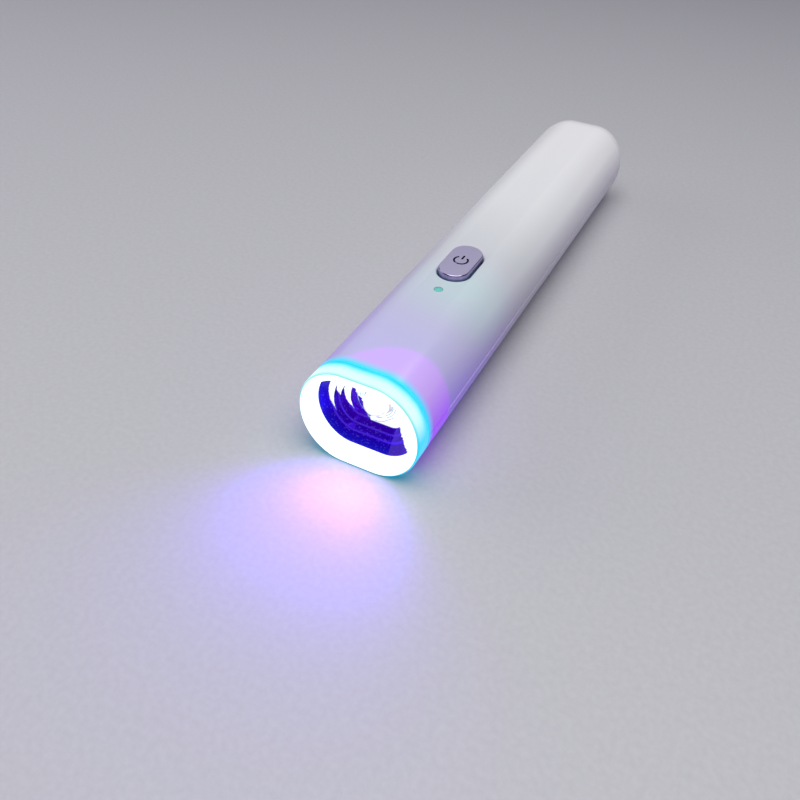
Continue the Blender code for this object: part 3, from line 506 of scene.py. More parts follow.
def mirror_coat():
    """Near-black violet metallised plastic with a painted reflection of the LED's blue-violet light, and
    painted white glare where it throws the LED's light back.
    """
    look = Look("mirror_coat", (0.008, 0.001, 0.08), 0.12, metallic=1.0)
    white, arc_shade = (1.5, 1.6, 1.6), (0.42, 0.68, 0.74)
    waves = look.noise(420, 3)
    look.colour(look.blend(waves, (0.005, 0.001, 0.06), (0.010, 0.002, 0.10)))
    depth = look.depth()
    at_floor = look.over(depth, 7.6 * MM, 0.05 * MM)
    lit = look.mix(cup_glare(look, depth, at_floor), cup_shades(look, depth), white)
    # Painted reflection: faint broken arcs round the LED's dome
    rise = look.maths("SUBTRACT", look.axis("Z"), MID)
    radius = look.maths("POWER", look.squares(look.axis("X"), rise), 0.5)
    broken = look.spread(look.noise(500, 2), 0.42, 0.55)
    for place in (3.45 * MM, 3.95 * MM, 4.5 * MM):
        arc = look.spread(look.gap(radius, place), 0.12 * MM, 0.05 * MM)
        arc = look.maths("MULTIPLY", look.maths("MULTIPLY", arc, broken), at_floor)
        lit = look.mix(arc, lit, arc_shade)
    look.glow(lit, 0.8)
    look.vary("Roughness", look.noise(700, 4), 0.06, 0.16)
    look.bump(waves, 0.08, 0.1 * MM)
    return look.material


def satin_plating():
    """Satin-plated plastic with a fine, even grain; its lavender tint is a painted reflection of violet
    light.
    """
    look = Look("satin_plating", (0.50, 0.46, 0.66), 0.42, metallic=0.3)
    grain = look.noise(5200, 3)
    brushed = look.noise(3200, 4, stretch=(1.0, 0.06, 1.0))
    look.colour(look.blend(grain, (0.48, 0.45, 0.64), (0.52, 0.49, 0.68)))
    look.vary("Roughness", brushed, 0.38, 0.46)
    look.bump(grain, 0.05, 0.02 * MM)
    return look.material


def polished_plating():
    # The violet tint of this polished plating is a painted reflection of violet light
    look = Look("polished_plating", (0.36, 0.30, 0.50), 0.06, metallic=1.0)
    smears = look.noise(900, 3)
    look.vary("Roughness", smears, 0.04, 0.12)
    look.colour(look.blend(smears, (0.30, 0.24, 0.44), (0.42, 0.35, 0.56)))
    return look.material


def clear_dome():
    look = Look("clear_dome", (0.96, 0.97, 1.0), 0.02, transmission_weight=1.0, ior=1.41)
    look.set("Emission Color", (0.82, 0.80, 1.0))
    look.set("Emission Strength", 0.25)
    look.vary("Roughness", look.noise(500, 2), 0.01, 0.05)
    return look.material


def emitter():
    look = Look("emitter", (0.8, 0.75, 1.0), 0.4)
    cells = look.noise(3000, 2)
    look.glow(look.ramp(cells, [(0.35, (0.62, 0.50, 1.0)), (0.65, (0.95, 0.92, 1.0))]), 40.0)
    return look.material


def indicator_green():
    """Clear green plastic, brightest in the middle of its end."""
    look = Look("indicator_green", (0.12, 0.36, 0.33), 0.3, coat_weight=0.3)
    stops = [(0.0, (0.14, 0.52, 0.46)), (0.7, (0.09, 0.40, 0.34)), (1.0, (0.07, 0.30, 0.27))]
    radius = look.node("ShaderNodeVectorMath", operation="DISTANCE")
    look.link(look.place, radius.inputs[0])
    radius.inputs[1].default_value = (0, PIPE_Y, HEIGHT)
    look.glow(look.ramp(look.spread(radius.outputs["Value"], 0, PIPE_RADIUS), stops), 0.55)
    look.bump(look.noise(2500, 2), 0.05, 0.03 * MM)
    return look.material


def moulded(name, colour, roughness=0.45, grain=1200):
    """Moulded plastic with a slight orange-peel grain."""
    shade, play = 0.86, 0.08
    look = Look(name, colour, roughness)
    texture = look.noise(grain, 3)
    look.colour(look.blend(texture, tuple(shade * c for c in colour), colour))
    look.vary("Roughness", texture, roughness - play, roughness + play)
    look.bump(texture, 0.1, 0.05 * MM)
    return look.material


def worked_metal(name, colour, roughness=0.3, stretch=(1, 1, 1)):
    """Bare metal with rolled or brushed streaks."""
    shade, play = 0.8, 0.1
    look = Look(name, colour, roughness, metallic=1.0)
    streaks = look.noise(1500, 4, stretch=stretch)
    look.colour(look.blend(streaks, tuple(shade * c for c in colour), colour))
    look.vary("Roughness", streaks, roughness - play, roughness + play)
    look.bump(streaks, 0.08, 0.04 * MM)
    return look.material


def circuit_board(name):
    """Green solder mask over raised copper tracks."""
    look = Look(name, (0.02, 0.17, 0.07), 0.3, coat_weight=0.4, coat_roughness=0.15)
    tracks = look.node("ShaderNodeTexBrick")
    tracks.inputs["Scale"].default_value = 620
    tracks.inputs["Mortar Size"].default_value = 0.03
    look.link(look.place, tracks.inputs["Vector"])
    look.colour(look.mix(tracks.outputs["Fac"], (0.015, 0.14, 0.06), (0.04, 0.26, 0.10)))
    look.bump(tracks.outputs["Fac"], 0.25, 0.04 * MM)
    return look.material


def shrink_sleeve():
    """Blue heat-shrink film over the cell, faintly creased."""
    look = Look("shrink_sleeve", (0.03, 0.20, 0.5), 0.25, coat_weight=0.3)
    creases = look.noise(260, 4, stretch=(1, 0.25, 1))
    look.colour(look.blend(creases, (0.02, 0.15, 0.40), (0.04, 0.25, 0.58)))
    look.bump(creases, 0.15, 0.1 * MM)
    return look.material


# Mesh building ---------------------------------------------------------------------------------------------


def section(inset):
    """Closed outline of the lamp in X and Z, drawn in by inset: two flats joined by elliptical sides."""
    reach = (WIDTH - FLAT) / 2 - inset
    rise = HEIGHT / 2 - inset
    points = []
    for quarter in range(4):
        side = FLAT / 2 if quarter in (0, 3) else -FLAT / 2
        # The third quarter starts where the second ends
        for step in range(1 if quarter == 2 else 0, ARC_STEPS + 1):
            turn = math.radians(90) * (quarter + step / ARC_STEPS)
            points.append((side + reach * math.cos(turn), MID + rise * math.sin(turn)))
    return points[:-1]


def rounded_outline(width, height, corner, steps=10):
    """Closed outline of a rectangle with round corners, centred on the origin."""
    points = []
    for quarter in range(4):
        across = 1 if quarter in (0, 3) else -1
        up = 1 if quarter in (0, 1) else -1
        for step in range(steps + 1):
            turn = math.radians(90) * (quarter + step / steps)
            x = across * (width / 2 - corner) + corner * math.cos(turn)
            y = up * (height / 2 - corner) + corner * math.sin(turn)
            if not points or math.dist(points[-1], (x, y)) > TOUCHING:
                points.append((x, y))
    if math.dist(points[0], points[-1]) < TOUCHING:
        points.pop()
    return points


def skin(bm, loops, closed=False):
    """Skins rings of vertices that have the same count, and caps them unless they close on themselves."""
    rings = [[bm.verts.new(p) for p in loop] for loop in loops]
    pairs = list(zip(rings, rings[1:]))
    if closed:
        pairs.append((rings[-1], rings[0]))
    for one, other in pairs:
        for i in range(len(one)):
            bm.faces.new((one[i - 1], one[i], other[i], other[i - 1]))
    if not closed:
        bm.faces.new(rings[0])
        bm.faces.new(rings[-1])


def body_loops(stations):
    """Rings of the lamp's section at (distance, inset) stations along it."""
    return [[(x, behind(distance), z) for x, z in section(inset)] for distance, inset in stations]


def prism_loops(outline, levels, centre, along="Z"):
    """Rings of an outline at (level, growth) steps; growth widens it by moving each point outwards."""
    loops = []
    for level, growth in levels:
        ring = []
        for i, (x, y) in enumerate(outline):
            before, after = outline[i - 1], outline[(i + 1) % len(outline)]
            along_x, along_y = after[0] - before[0], after[1] - before[1]
            span = math.hypot(along_x, along_y)
            px = x + growth * along_y / span + centre[0]
            py = y - growth * along_x / span + centre[1]
            ring.append((px, py, level) if along == "Z" else (px, level, py))
        loops.append(ring)
    return loops


def solid(name, bm):
    """Turns a bmesh into an object whose faces look outwards."""
    bmesh.ops.recalc_face_normals(bm, faces=bm.faces)
    if bm.calc_volume(signed=True) < 0:
        bmesh.ops.reverse_faces(bm, faces=bm.faces)
    mesh = bpy.data.meshes.new(name)
    bm.to_mesh(mesh)
    bm.free()
    obj = bpy.data.objects.new(name, mesh)
    bpy.context.scene.collection.objects.link(obj)
    return obj


def from_loops(name, loops, closed=False):
    bm = bmesh.new()
    skin(bm, loops, closed)
    return solid(name, bm)


def body_solid(name, stations, closed=False):
    return from_loops(name, body_loops(stations), closed)


def prism(name, outline, levels, centre, along="Z"):
    return from_loops(name, prism_loops(outline, levels, centre, along))


def cuboid(bm, low, high):
    """Adds a box between two opposite corners."""
    low, high = Vector(low), Vector(high)
    place = Matrix.Translation((low + high) / 2) @ Matrix.Diagonal((*(high - low), 1))
    bmesh.ops.create_cube(bm, size=1, matrix=place)


def posts(name, *shapes):
    """Upright cylinders, each given as (x, y, radius, low, high), in one mesh."""
    bm = bmesh.new()
    for x, y, radius, low, high in shapes:
        bmesh.ops.create_cone(
            bm,
            cap_ends=True,
            segments=32,
            radius1=radius,
            radius2=radius,
            depth=high - low,
            matrix=Matrix.Translation((x, y, (low + high) / 2)),
        )
    return solid(name, bm)


def combine(obj, *steps):
    """Applies (operation, solid) booleans in turn, removes those solids and shades the result smooth."""
    for operation, other in steps:
        modifier = obj.modifiers.new(other.name, "BOOLEAN")
        modifier.operation = operation
        modifier.object = other
    bpy.context.view_layer.update()
    graph = bpy.context.evaluated_depsgraph_get()
    mesh = bpy.data.meshes.new_from_object(obj.evaluated_get(graph), depsgraph=graph)
    obj.modifiers.clear()
    obj.data = mesh
    for operation, other in steps:
        bpy.data.objects.remove(other)
    smooth(obj)
    return obj


def smooth(obj, sharp=30):
    obj.data.shade_smooth()
    obj.data.set_sharp_from_angle(angle=math.radians(sharp))


def turned(name, profile, place, turn=UPRIGHT, segments=48):
    """Turns (radius, height) points about Z, then moves the result to place."""
    turns = [2 * math.pi * i / segments for i in range(segments)]
    bm = bmesh.new()
    rings = []
    for radius, height in profile:
        if radius < TOUCHING:
            rings.append([bm.verts.new((0, 0, height))])
        else:
            rings.append([bm.verts.new((radius * math.cos(t), radius * math.sin(t), height)) for t in turns])
    for one, other in zip(rings, rings[1:]):
        for i in range(segments):
            if len(one) == 1:
                corners = (one[0], other[i], other[i - 1])
            elif len(other) == 1:
                corners = (one[i - 1], one[i], other[0])
            else:
                corners = (one[i - 1], one[i], other[i], other[i - 1])
            bm.faces.new(corners)
    bmesh.ops.transform(bm, matrix=Matrix.Translation(place) @ turn, verts=bm.verts)
    return solid(name, bm)


def rod(radius, length):
    """The profile of a plain cylinder, for turned."""
    return [(0, 0), (radius, 0), (radius, length), (0, length)]


def dress(obj, material, body, slot, *nodes):
    """Gives a finished piece its material and body, and hides the CAD nodes that it stands for; slot is not
    used.
    """
    obj.data.materials.clear()
    obj.data.materials.append(material)
    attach(obj, body)
    if nodes:
        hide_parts(*nodes)


# Housing ---------------------------------------------------------------------------------------------------


def body_stations(depth, start):
    """(distance, inset) of the housing's surface from start to the tail, drawn in by depth."""
    steps = 16
    stations = [(start, depth)]
    for step in range(steps + 1):
        turn = math.radians(90) * step / steps
        back = (TAIL_LENGTH - depth) * (1 - math.sin(turn))
        drawn = (TAIL_INSET - depth) * (1 - math.cos(turn)) if depth < TAIL_INSET else 0
        stations.append((LENGTH - depth - back, depth + drawn))
    return stations


def plan_outline():
    """Outline of the lamp seen from above, run out past the lens end."""
    past = 5 * MM
    right = [(WIDTH / 2 - inset, behind(distance)) for distance, inset in body_stations(0, -past)]
    return [*right, *[(-x, y) for x, y in reversed(right)]]


def seam_side(name, towards):
    """The space above the parting line, or below it for -1, with a chamfer along the seam."""
    reach = 3 * MM
    seam = MID + towards * SEAM_GAP / 2
    levels = [
        (seam, -SEAM_EDGE),
        (seam + towards * (SEAM_EDGE + reach), reach),
        (seam + towards * HEIGHT, reach),
    ]
    return prism(name, plan_outline(), levels, (0, 0))


def band(name, low, high):
    """A slab wider and longer than the lamp, between two heights."""
    bm = bmesh.new()
    cuboid(bm, (-WIDTH, -LENGTH, low), (WIDTH, LENGTH, high))
    return solid(name, bm)


def half_shell(name, towards):
    """One half of the hollow housing, rebated inside its mouth for the bezel's spigot."""
    edge = 0.15 * MM
    soft = 0.3 * edge
    depth = SPIGOT_OUT - GAP
    outer = [(SHELL_START, edge), (SHELL_START + soft, soft), *body_stations(0, SHELL_START + edge)]
    shell = body_solid(name, outer)
    inner = body_solid(name + "_space", body_stations(WALL, SHELL_START - MM))
    mouth = body_solid(name + "_mouth", [(SHELL_START - MM, depth), (SPIGOT_END + GAP, depth)])
    side = seam_side(name + "_side", towards)
    return combine(shell, ("DIFFERENCE", inner), ("DIFFERENCE", mouth), ("INTERSECT", side))


def rooted(features):
    """Cuts features off in the middle of the housing's wall."""
    core = body_solid("core", body_stations(FEATURE_INSET, SHELL_START + GAP))
    return combine(features, ("INTERSECT", core))


def usb_opening():
    """The socket's opening in the tail, which widens at its outer edge."""
    width, height, round_off, deep, edge = 9.5 * MM, 3.8 * MM, 1.7 * MM, 3 * MM, 0.35 * MM
    levels = [(behind(LENGTH - deep), 0), (behind(LENGTH - edge), 0), (behind(LENGTH + edge), 2 * edge)]
    return prism("usb_opening", rounded_outline(width, height, round_off), levels, (0, MID), "Y")


def button_opening():
    """The slot that the button stands in, whose lip rolls over softly into it."""
    outline = rounded_outline(BUTTON_WIDTH + 2 * GAP, BUTTON_LENGTH + 2 * GAP, BUTTON_WIDTH / 2 + GAP, 16)
    levels = [(HEIGHT - 3 * WALL, 0), (HEIGHT - OPENING_ROUND, 0)]
    steps = 8
    for step in range(1, steps + 1):
        turn = math.radians(90) * step / steps
        drop = OPENING_ROUND * (1 - math.sin(turn))
        levels.append((HEIGHT - drop, OPENING_ROUND * (1 - math.cos(turn))))
    levels.append((HEIGHT + MM, OPENING_ROUND))
    return prism("button_opening", outline, levels, (0, BUTTON_Y))



def seam_rebate():
    """What the upper half gives up for the lower half's tongue."""
    rebate = body_solid("seam_rebate", body_stations(LIP_OUT - GAP, SHELL_START - MM))
    limits = band("rebate_band", MID - MM, MID + LIP_HEIGHT + GAP)
    return combine(rebate, ("INTERSECT", limits))


def seam_lip():
    """The lower half's tongue, which runs inside the seam."""
    start = SPIGOT_END + GAP
    lip = body_solid("seam_lip", body_stations(LIP_OUT, start))
    inside = body_solid("lip_inside", body_stations(LIP_IN, start - MM))
    limits = band("lip_band", MID - LIP_HEIGHT, MID + LIP_HEIGHT)
    return combine(lip, ("DIFFERENCE", inside), ("INTERSECT", limits))


def upper_shell(plastic):
    """The upper half, with the screws' bosses and the openings for the button, light pipe and socket."""
    boss, bore_top = 2.6 * MM, 16.5 * MM
    shell = half_shell("shell_upper", 1)
    rows = [middle(node).y for node in CASE_SCREWS]
    bosses = rooted(posts("upper_bosses", *[(0, y, boss, BOSS_SPLIT + GAP, HEIGHT) for y in rows]))
    cutters = [
        seam_rebate(),
        posts("upper_holes", *[(0, y, SCREW_BORE, BOSS_SPLIT - MM, bore_top) for y in rows]),
        posts("pipe_hole", (0, PIPE_Y, PIPE_RADIUS + PIPE_PLAY, HEIGHT - 3 * WALL, HEIGHT + MM)),
        button_opening(),
        usb_opening(),
    ]
    combine(shell, ("UNION", bosses), *[("DIFFERENCE", cutter) for cutter in cutters])
    dress(shell, plastic, "lamp", "white_plastic", "upper_shell")


def cell_saddles():
    """A rib behind the heat sink, and ribs hollowed to the cell's curve."""
    thick, inset, bed_length = 1.2 * MM, 2.9 * MM, 100 * MM
    sink_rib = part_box("heat_sink")[1].y - FRONT + GAP
    bed_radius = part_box("battery_cell")[1].x + GAP
    bm = bmesh.new()
    for front in (sink_rib, *SADDLE_ROWS):
        skin(bm, body_loops([(front, 0), (front + thick, 0)]))
    ribs = rooted(solid("lower_ribs", bm))
    low_part = band("below_leads", -MM, MID - GAP)
    hollow = body_solid("rib_hollow", [(sink_rib - MM, inset), (sink_rib + 2 * thick, inset)])
    bed = turned("cell_bed", rod(bed_radius, bed_length), (0, behind(LENGTH), MID), FACING_LENS, 64)
    return combine(ribs, ("INTERSECT", low_part), ("DIFFERENCE", hollow), ("DIFFERENCE", bed))


def lower_posts():
    """The case screws' bosses and the circuit board's posts."""
    boss, board_post = 3.2 * MM, 2.0 * MM
    board_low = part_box("main_board")[0].z
    made = [(0, middle(node).y, boss, 0, BOSS_SPLIT) for node in CASE_SCREWS]
    for x in (-POST_X, POST_X):
        made += [(x, middle(node).y, board_post, 0, board_low - GAP) for node in BOARD_SCREWS]
    return rooted(posts("lower_posts", *made))


def socket_pedestals():
    """A block under each side of the charging board."""
    near, far = 3.6 * MM, 6.4 * MM
    board_low, board_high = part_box("charge_board")
    bm = bmesh.new()
    for left, right in ((-far, -near), (near, far)):
        cuboid(bm, (left, board_low.y, 0), (right, board_high.y - MM, board_low.z - GAP))
    return rooted(solid("pedestals", bm))


def lower_shell(plastic):
    """The lower half, with the case screws' sunk bores and the board screws' holes."""
    mouth, mouth_depth, rim = 2.4 * MM, 2.6 * MM, 0.2 * MM
    board_bore, bore_low, bore_high = 1.15 * MM, 6 * MM, MID + 4 * MM
    shell = half_shell("shell_lower", -1)
    extras = [seam_lip(), cell_saddles(), lower_posts(), socket_pedestals()]
    combine(shell, *[("UNION", extra) for extra in extras])
    shafts, mouths, holes = [], [], []
    for node in CASE_SCREWS:
        y = middle(node).y
        shafts.append((0, y, SCREW_BORE, mouth_depth - MM, BOSS_SPLIT + MM))
        mouths.append((0, y, mouth, -MM, mouth_depth))
    for x in (-POST_X, POST_X):
        holes += [(x, middle(node).y, board_bore, bore_low, bore_high) for node in BOARD_SCREWS]
    cutters = [posts("shafts", *shafts), posts("mouths", *mouths), posts("holes", *holes), usb_opening()]
    cutters += [countersink(node, mouth, rim) for node in CASE_SCREWS]
    combine(shell, *[("DIFFERENCE", cutter) for cutter in cutters])
    dress(shell, plastic, "lamp", "white_plastic", "lower_shell")


def countersink(node, radius, rim):
    """Breaks the edge of a screw's bore in the underside."""
    profile = [(0, -rim), (radius + 2 * rim, -rim), (radius - rim, 2 * rim), (0, 2 * rim)]
    return turned(node + "_rim", profile, (0, middle(node).y, 0), segments=40)


# Lens end --------------------------------------------------------------------------------------------------


def corner(distance, inset, radius, first, last, steps=6):
    """(distance, inset) points round a corner of a profile, from one angle to another in degrees."""
    points = []
    for step in range(steps + 1):
        turn = math.radians(first + (last - first) * step / steps)
        points.append((distance + radius * math.cos(turn), inset + radius * math.sin(turn)))
    return points


def bezel():
    """The lit ring, whose outer band has its own material."""
    edge, rear, mouth, slack = 0.5 * MM, 0.2 * MM, 0.3 * MM, 0.01 * MM
    front_facing = -0.96  # the Y of a face's normal, below which it belongs to the front
    stations = [
        *corner(edge, edge, edge, 180, 270),
        *corner(BEZEL_DEPTH - rear, rear, rear, 270, 360),
        (BEZEL_DEPTH, SPIGOT_OUT),
        (SPIGOT_END, SPIGOT_OUT),
        (SPIGOT_END, BEZEL_BORE),
        *corner(mouth, BEZEL_BORE - mouth, mouth, 90, 180),
    ]
    ring = body_solid("bezel_ring", stations, closed=True)
    smooth(ring)
    dress(ring, lit_rim(), "lamp", "milky_plastic", "front_bezel")
    ring.data.materials.append(lit_band())
    for face in ring.data.polygons:
        outwards = Vector((face.center.x, 0, face.center.z - MID)).dot(face.normal) > 0
        in_band = face.center.y < behind(BEZEL_DEPTH + slack) and face.normal.y > front_facing
        face.material_index = 1 if outwards and in_band else 0


def mirror_cup():
    """The stepped reflector: steep walls with a narrow ledge at the foot of each."""
    rim, mouth, floor_inset = BEZEL_BORE + GAP, 2.35 * MM, 7.1 * MM
    shoulder, neck, waist, back = 5.8 * MM, 7.8 * MM, 5.9 * MM, 8.8 * MM
    ledge_depth, ledge_width, fillet = 0.15 * MM, 0.5 * MM, 0.08 * MM
    hole_radius, hole_length, hole_past = 3.3 * MM, 2 * MM, 0.5 * MM
    outside = [(CUP_START, rim), (shoulder, rim), (neck, waist), (back, waist)]
    inside = [(CUP_START - MM, mouth), (CUP_START, mouth)]
    for depth, inset in CUP_STEPS:
        inside += corner(depth - fillet, inset, fillet, -60, 0, 2)
        inside.append((depth + ledge_depth, inset + ledge_width))
    inside.append((CUP_FLOOR, floor_inset))
    cup = body_solid("mirror_cup", outside)
    space = body_solid("mirror_space", inside)
    hole_place = (0, behind(back + hole_past), MID)
    hole = turned("led_hole", rod(hole_radius, hole_length), hole_place, FACING_LENS, 64)
    combine(cup, ("DIFFERENCE", space), ("DIFFERENCE", hole))
    dress(cup, mirror_coat(), "lamp", "plated_mirror", "reflector")


def led_dome():
    radius, steps = LENS_HIGH.x, 16
    arc = [math.radians(90 - 90 * step / steps) for step in range(1, steps + 1)]
    profile = [(0, radius), *[(radius * math.cos(a), radius * math.sin(a)) for a in arc], (0, 0)]
    dome = turned("led_dome", profile, (0, LENS_HIGH.y, MID), FACING_LENS, 64)
    smooth(dome, 50)
    dress(dome, clear_dome(), "lamp", "clear_silicone", "led_lens")


# Button and indicator --------------------------------------------------------------------------------------


def power_symbol():
    """The cutter for a ring open towards the tail, with a bar in its opening."""
    sunk, outer, inner, half_gap = 0.2 * MM, 1.75 * MM, 1.3 * MM, math.radians(38)
    bar_width, bar_length, bar_round, bar_shift = 0.45 * MM, 1.7 * MM, 0.2 * MM, 1.25 * MM
    steps = 40
    swept = 2 * math.pi - 2 * half_gap
    turns = [math.radians(90) + half_gap + swept * i / steps for i in range(steps + 1)]
    outline = [(inner * math.cos(t), inner * math.sin(t)) for t in turns]
    outline += [(outer * math.cos(t), outer * math.sin(t)) for t in reversed(turns)]
    levels = [(BUTTON_TOP - sunk, 0), (BUTTON_TOP + MM, 0)]
    bm = bmesh.new()
    skin(bm, prism_loops(outline, levels, (0, BUTTON_Y)))
    bar = rounded_outline(bar_width, bar_length, bar_round, 6)
    skin(bm, prism_loops(bar, levels, (0, BUTTON_Y + bar_shift)))
    return solid("power_symbol", bm)


def button():
    """The plated cap with its flange and stem: satin on top, polished round its sides."""
    edge, steps, cap_low = 0.28 * MM, 6, 19.6 * MM
    flange_width, flange_length = 9.2 * MM, 15.8 * MM
    stem_radius, stem_high = 1.6 * MM, 19.5 * MM
    centre = (0, BUTTON_Y)
    levels = [(cap_low, 0), (BUTTON_TOP - edge, 0)]
    for step in range(1, steps + 1):
        turn = math.radians(90) * step / steps
        levels.append((BUTTON_TOP - edge * (1 - math.sin(turn)), -edge * (1 - math.cos(turn))))
    outline = rounded_outline(BUTTON_WIDTH, BUTTON_LENGTH, BUTTON_WIDTH / 2, 20)
    cap = prism("button_cap", outline, levels, centre)
    flange_outline = rounded_outline(flange_width, flange_length, flange_width / 2, 12)
    flange = prism("button_flange", flange_outline, [(FLANGE_LOW, 0), (FLANGE_HIGH, 0)], centre)
    stem = posts("button_stem", (0, BUTTON_Y, stem_radius, BUTTON_LOW.z, stem_high))
    combine(cap, ("UNION", flange), ("UNION", stem), ("DIFFERENCE", power_symbol()))
    dress(cap, satin_plating(), "button", "plated_button", "power_button")
    cap.data.materials.append(polished_plating())
    satin_low, facing_up = BUTTON_TOP - 0.3 * edge, 0.9
    for face in cap.data.polygons:
        on_top = face.center.z > satin_low and face.normal.z > facing_up
        face.material_index = 0 if on_top else 1


def indicator():
    """The light pipe, whose slightly domed end shows as a dot in the housing."""
    crown, collar, steps = 0.12 * MM, 1.7 * MM, 6
    dome = [(PIPE_RADIUS * k / steps, PIPE_HIGH.z - crown * (k / steps) ** 2) for k in range(steps + 1)]
    profile = [
        *dome,
        (PIPE_RADIUS, FLANGE_HIGH),
        (collar, FLANGE_HIGH),
        (collar, FLANGE_LOW),
        (PIPE_RADIUS, FLANGE_LOW),
        (PIPE_RADIUS, PIPE_LOW.z),
        (0, PIPE_LOW.z),
    ]
    pipe = turned("indicator_dot", profile, (0, PIPE_Y, 0), segments=40)
    smooth(pipe)
    dress(pipe, indicator_green(), "lamp", "clear_green", "light_pipe")


# Charging socket -------------------------------------------------------------------------------------------


def socket_contacts(centre_y):
    """Twelve gold contacts on each face of the tongue."""
    count, pitch, rise = 12, 0.5 * MM, 0.35 * MM
    size = Matrix.Diagonal((0.26 * MM, 2.4 * MM, 0.05 * MM, 1))
    bm = bmesh.new()
    for side in (-1, 1):
        for i in range(count):
            place = Matrix.Translation(((i - (count - 1) / 2) * pitch, centre_y, MID + side * rise))
            bmesh.ops.create_cube(bm, size=1, matrix=place @ size)
    contacts = solid("socket_contacts", bm)
    dress(contacts, worked_metal("contact_gold", (0.83, 0.62, 0.25), 0.25), "lamp", "nickel_strip")


def socket_tongue(root, blade_end, width, height):
    """The nylon block at the shell's inner end, and the blade that stands out of it."""
    block_round, block_depth, block_edge = 0.7 * MM, 1.1 * MM, 0.1 * MM
    blade_width, blade_height, blade_round = 6.7 * MM, 0.7 * MM, 0.2 * MM
    blade_start, blade_edge, blade_taper = 0.6 * MM, 0.15 * MM, -0.12 * MM
    centre = (0, MID)
    block_levels = [(root, 0), (root + block_depth, 0), (root + block_depth + block_edge, -block_edge)]
    block = rounded_outline(width, height, block_round, 8)
    tongue = prism("socket_tongue", block, block_levels, centre, "Y")
    blade_levels = [(root + blade_start, 0), (blade_end - blade_edge, 0), (blade_end, blade_taper)]
    blade_outline = rounded_outline(blade_width, blade_height, blade_round, 5)
    blade = prism("socket_blade", blade_outline, blade_levels, centre, "Y")
    combine(tongue, ("UNION", blade))
    dress(tongue, moulded("socket_nylon", (0.03, 0.03, 0.033)), "lamp", "black_plastic", "usb_tongue")


def charging_socket():
    """The USB-C receptacle in the tail."""
    wall, round_off, edge = 0.35 * MM, 1.4 * MM, 0.12 * MM
    set_back, contact_back = 0.9 * MM, 1.6 * MM
    width, height = USB_HIGH.x - USB_LOW.x, USB_HIGH.z - USB_LOW.z
    start, end = USB_LOW.y, USB_HIGH.y
    levels = [(start, -edge), (start + edge, 0), (end - edge, 0), (end, -edge)]
    levels += [(end, edge - wall), (end - edge, -wall), (start + wall, -wall)]
    shell = prism("socket_shell", rounded_outline(width, height, round_off, 12), levels, (0, MID), "Y")
    smooth(shell)
    metal = worked_metal("socket_steel", (0.62, 0.62, 0.64), 0.28, (0.1, 1, 1))
    dress(shell, metal, "lamp", "steel", "usb_shell")
    margin = 2 * (wall + GAP)
    blade_end = end - set_back
    socket_tongue(start + wall + GAP, blade_end, width - margin, height - margin)
    socket_contacts(blade_end - contact_back)


# Fasteners -------------------------------------------------------------------------------------------------


def screw(node, place, turn, metal, shank, head, head_height, length):
    """A pan-head screw with a cross recess, standing on its local XY plane."""
    steps = 8
    flat, rim = 0.55, 0.45  # the flat's share of the head's radius, and the rim's share of its height
    arm, reach, sunk = 0.22 * head, 0.6 * head, 0.45 * head_height
    dome = []
    for k in range(steps + 1):
        angle = math.radians(90 * k / steps)
        radius = head * (flat + (1 - flat) * math.sin(angle))
        dome.append((radius, head_height * (rim + (1 - rim) * math.cos(angle))))
    profile = [(0, head_height), *dome, (head, 0), (shank, 0), (shank, shank - length), (0, -length)]
    body = turned(node + "_fine", profile, place, turn, 32)
    corners = [(reach, arm), (arm, arm), (arm, reach), (-arm, reach), (-arm, arm), (-reach, arm)]
    cross = [*corners, *[(-x, -y) for x, y in corners]]
    recess = prism("recess", cross, [(sunk, -0.3 * arm), (2 * head_height, 0)], (0, 0))
    recess.data.transform(Matrix.Translation(place) @ turn)
    combine(body, ("DIFFERENCE", recess))
    dress(body, metal, "lamp", "steel", node)


def screws():
    """The six screws. A size is the shank's radius, the head's radius and height, and the length."""
    case_size = (1.0 * MM, 2.0 * MM, 1.5 * MM, 12.0 * MM)
    board_size = (0.9 * MM, 1.75 * MM, 1.2 * MM, 6.0 * MM)
    led_size = (0.9 * MM, 1.35 * MM, 0.9 * MM, 5.4 * MM)
    metal = worked_metal("screw_steel", (0.62, 0.62, 0.63), 0.3)
    for node in CASE_SCREWS:
        low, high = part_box(node)
        place = ((low.x + high.x) / 2, (low.y + high.y) / 2, low.z + case_size[2])
        screw(node, place, HEAD_DOWN, metal, *case_size)
    for node in BOARD_SCREWS:
        low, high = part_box(node)
        place = ((low.x + high.x) / 2, (low.y + high.y) / 2, high.z - board_size[2])
        screw(node, place, UPRIGHT, metal, *board_size)
    for node in LED_SCREWS:
        low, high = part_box(node)
        place = ((low.x + high.x) / 2, low.y + led_size[2], (low.z + high.z) / 2)
        screw(node, place, FACING_LENS, metal, *led_size)


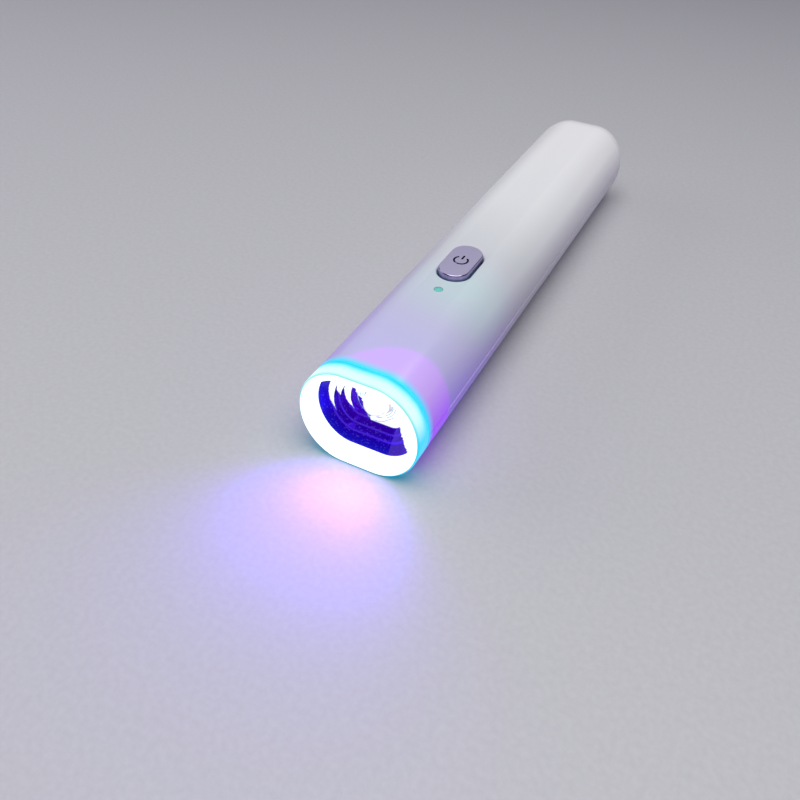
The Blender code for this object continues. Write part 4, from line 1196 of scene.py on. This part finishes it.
# CAD nodes that stay ---------------------------------------------------------------------------------------


def dress_hidden_parts():
    """Gives looks to the CAD nodes that no fine mesh replaces."""
    chips = ("driver_chip", "charger_chip", "switch_body")
    cell_ends = ("battery_cap", "positive_tab", "negative_tab")
    red_leads = ("led_lead_red", "battery_lead_red", "charge_lead_red")
    black_leads = ("led_lead_black", "battery_lead_black", "charge_lead_black")
    looks = (
        (moulded("red_wire", (0.55, 0.03, 0.03), 0.4, 900), *red_leads),
        (moulded("black_wire", (0.03, 0.03, 0.032), 0.4, 900), *black_leads),
        (moulded("chip_epoxy", (0.025, 0.025, 0.028), 0.5, 2200), *chips),
        (circuit_board("board_mask"), "main_board", "charge_board"),
        (worked_metal("nickel", (0.72, 0.70, 0.66), 0.35, (1, 1, 0.1)), *cell_ends),
        (worked_metal("can_aluminium", (0.66, 0.67, 0.70), 0.28), "capacitor_left", "capacitor_right"),
        (moulded("ceramic", (0.84, 0.83, 0.78), 0.45, 1800), "led_package"),
        (emitter(), "led_die"),
        (moulded("white_mask", (0.86, 0.86, 0.84), 0.4, 1400), "led_board"),
        (worked_metal("sawn_aluminium", (0.74, 0.75, 0.77), 0.35, (0.1, 1, 1)), "heat_sink"),
        (moulded("ferrite_core", (0.09, 0.09, 0.10), 0.65, 2600), "inductor"),
        (moulded("ivory_housing", (0.84, 0.80, 0.70), 0.45, 1500), "lead_connector"),
        (moulded("indicator_body", (0.25, 0.75, 0.5), 0.3, 1500), "indicator_led"),
        (moulded("plunger_brown", (0.28, 0.18, 0.10), 0.4, 1500), "switch_plunger"),
        (shrink_sleeve(), "battery_cell"),
    )
    for material, *nodes in looks:
        for node in nodes:
            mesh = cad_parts[node].data
            mesh.materials.clear()
            mesh.materials.append(material)


def main():
    add_camera()
    add_floor()
    add_lights()
    plastic = housing_plastic()
    upper_shell(plastic)
    lower_shell(plastic)
    bezel()
    mirror_cup()
    led_dome()
    button()
    indicator()
    charging_socket()
    screws()
    dress_hidden_parts()


main()
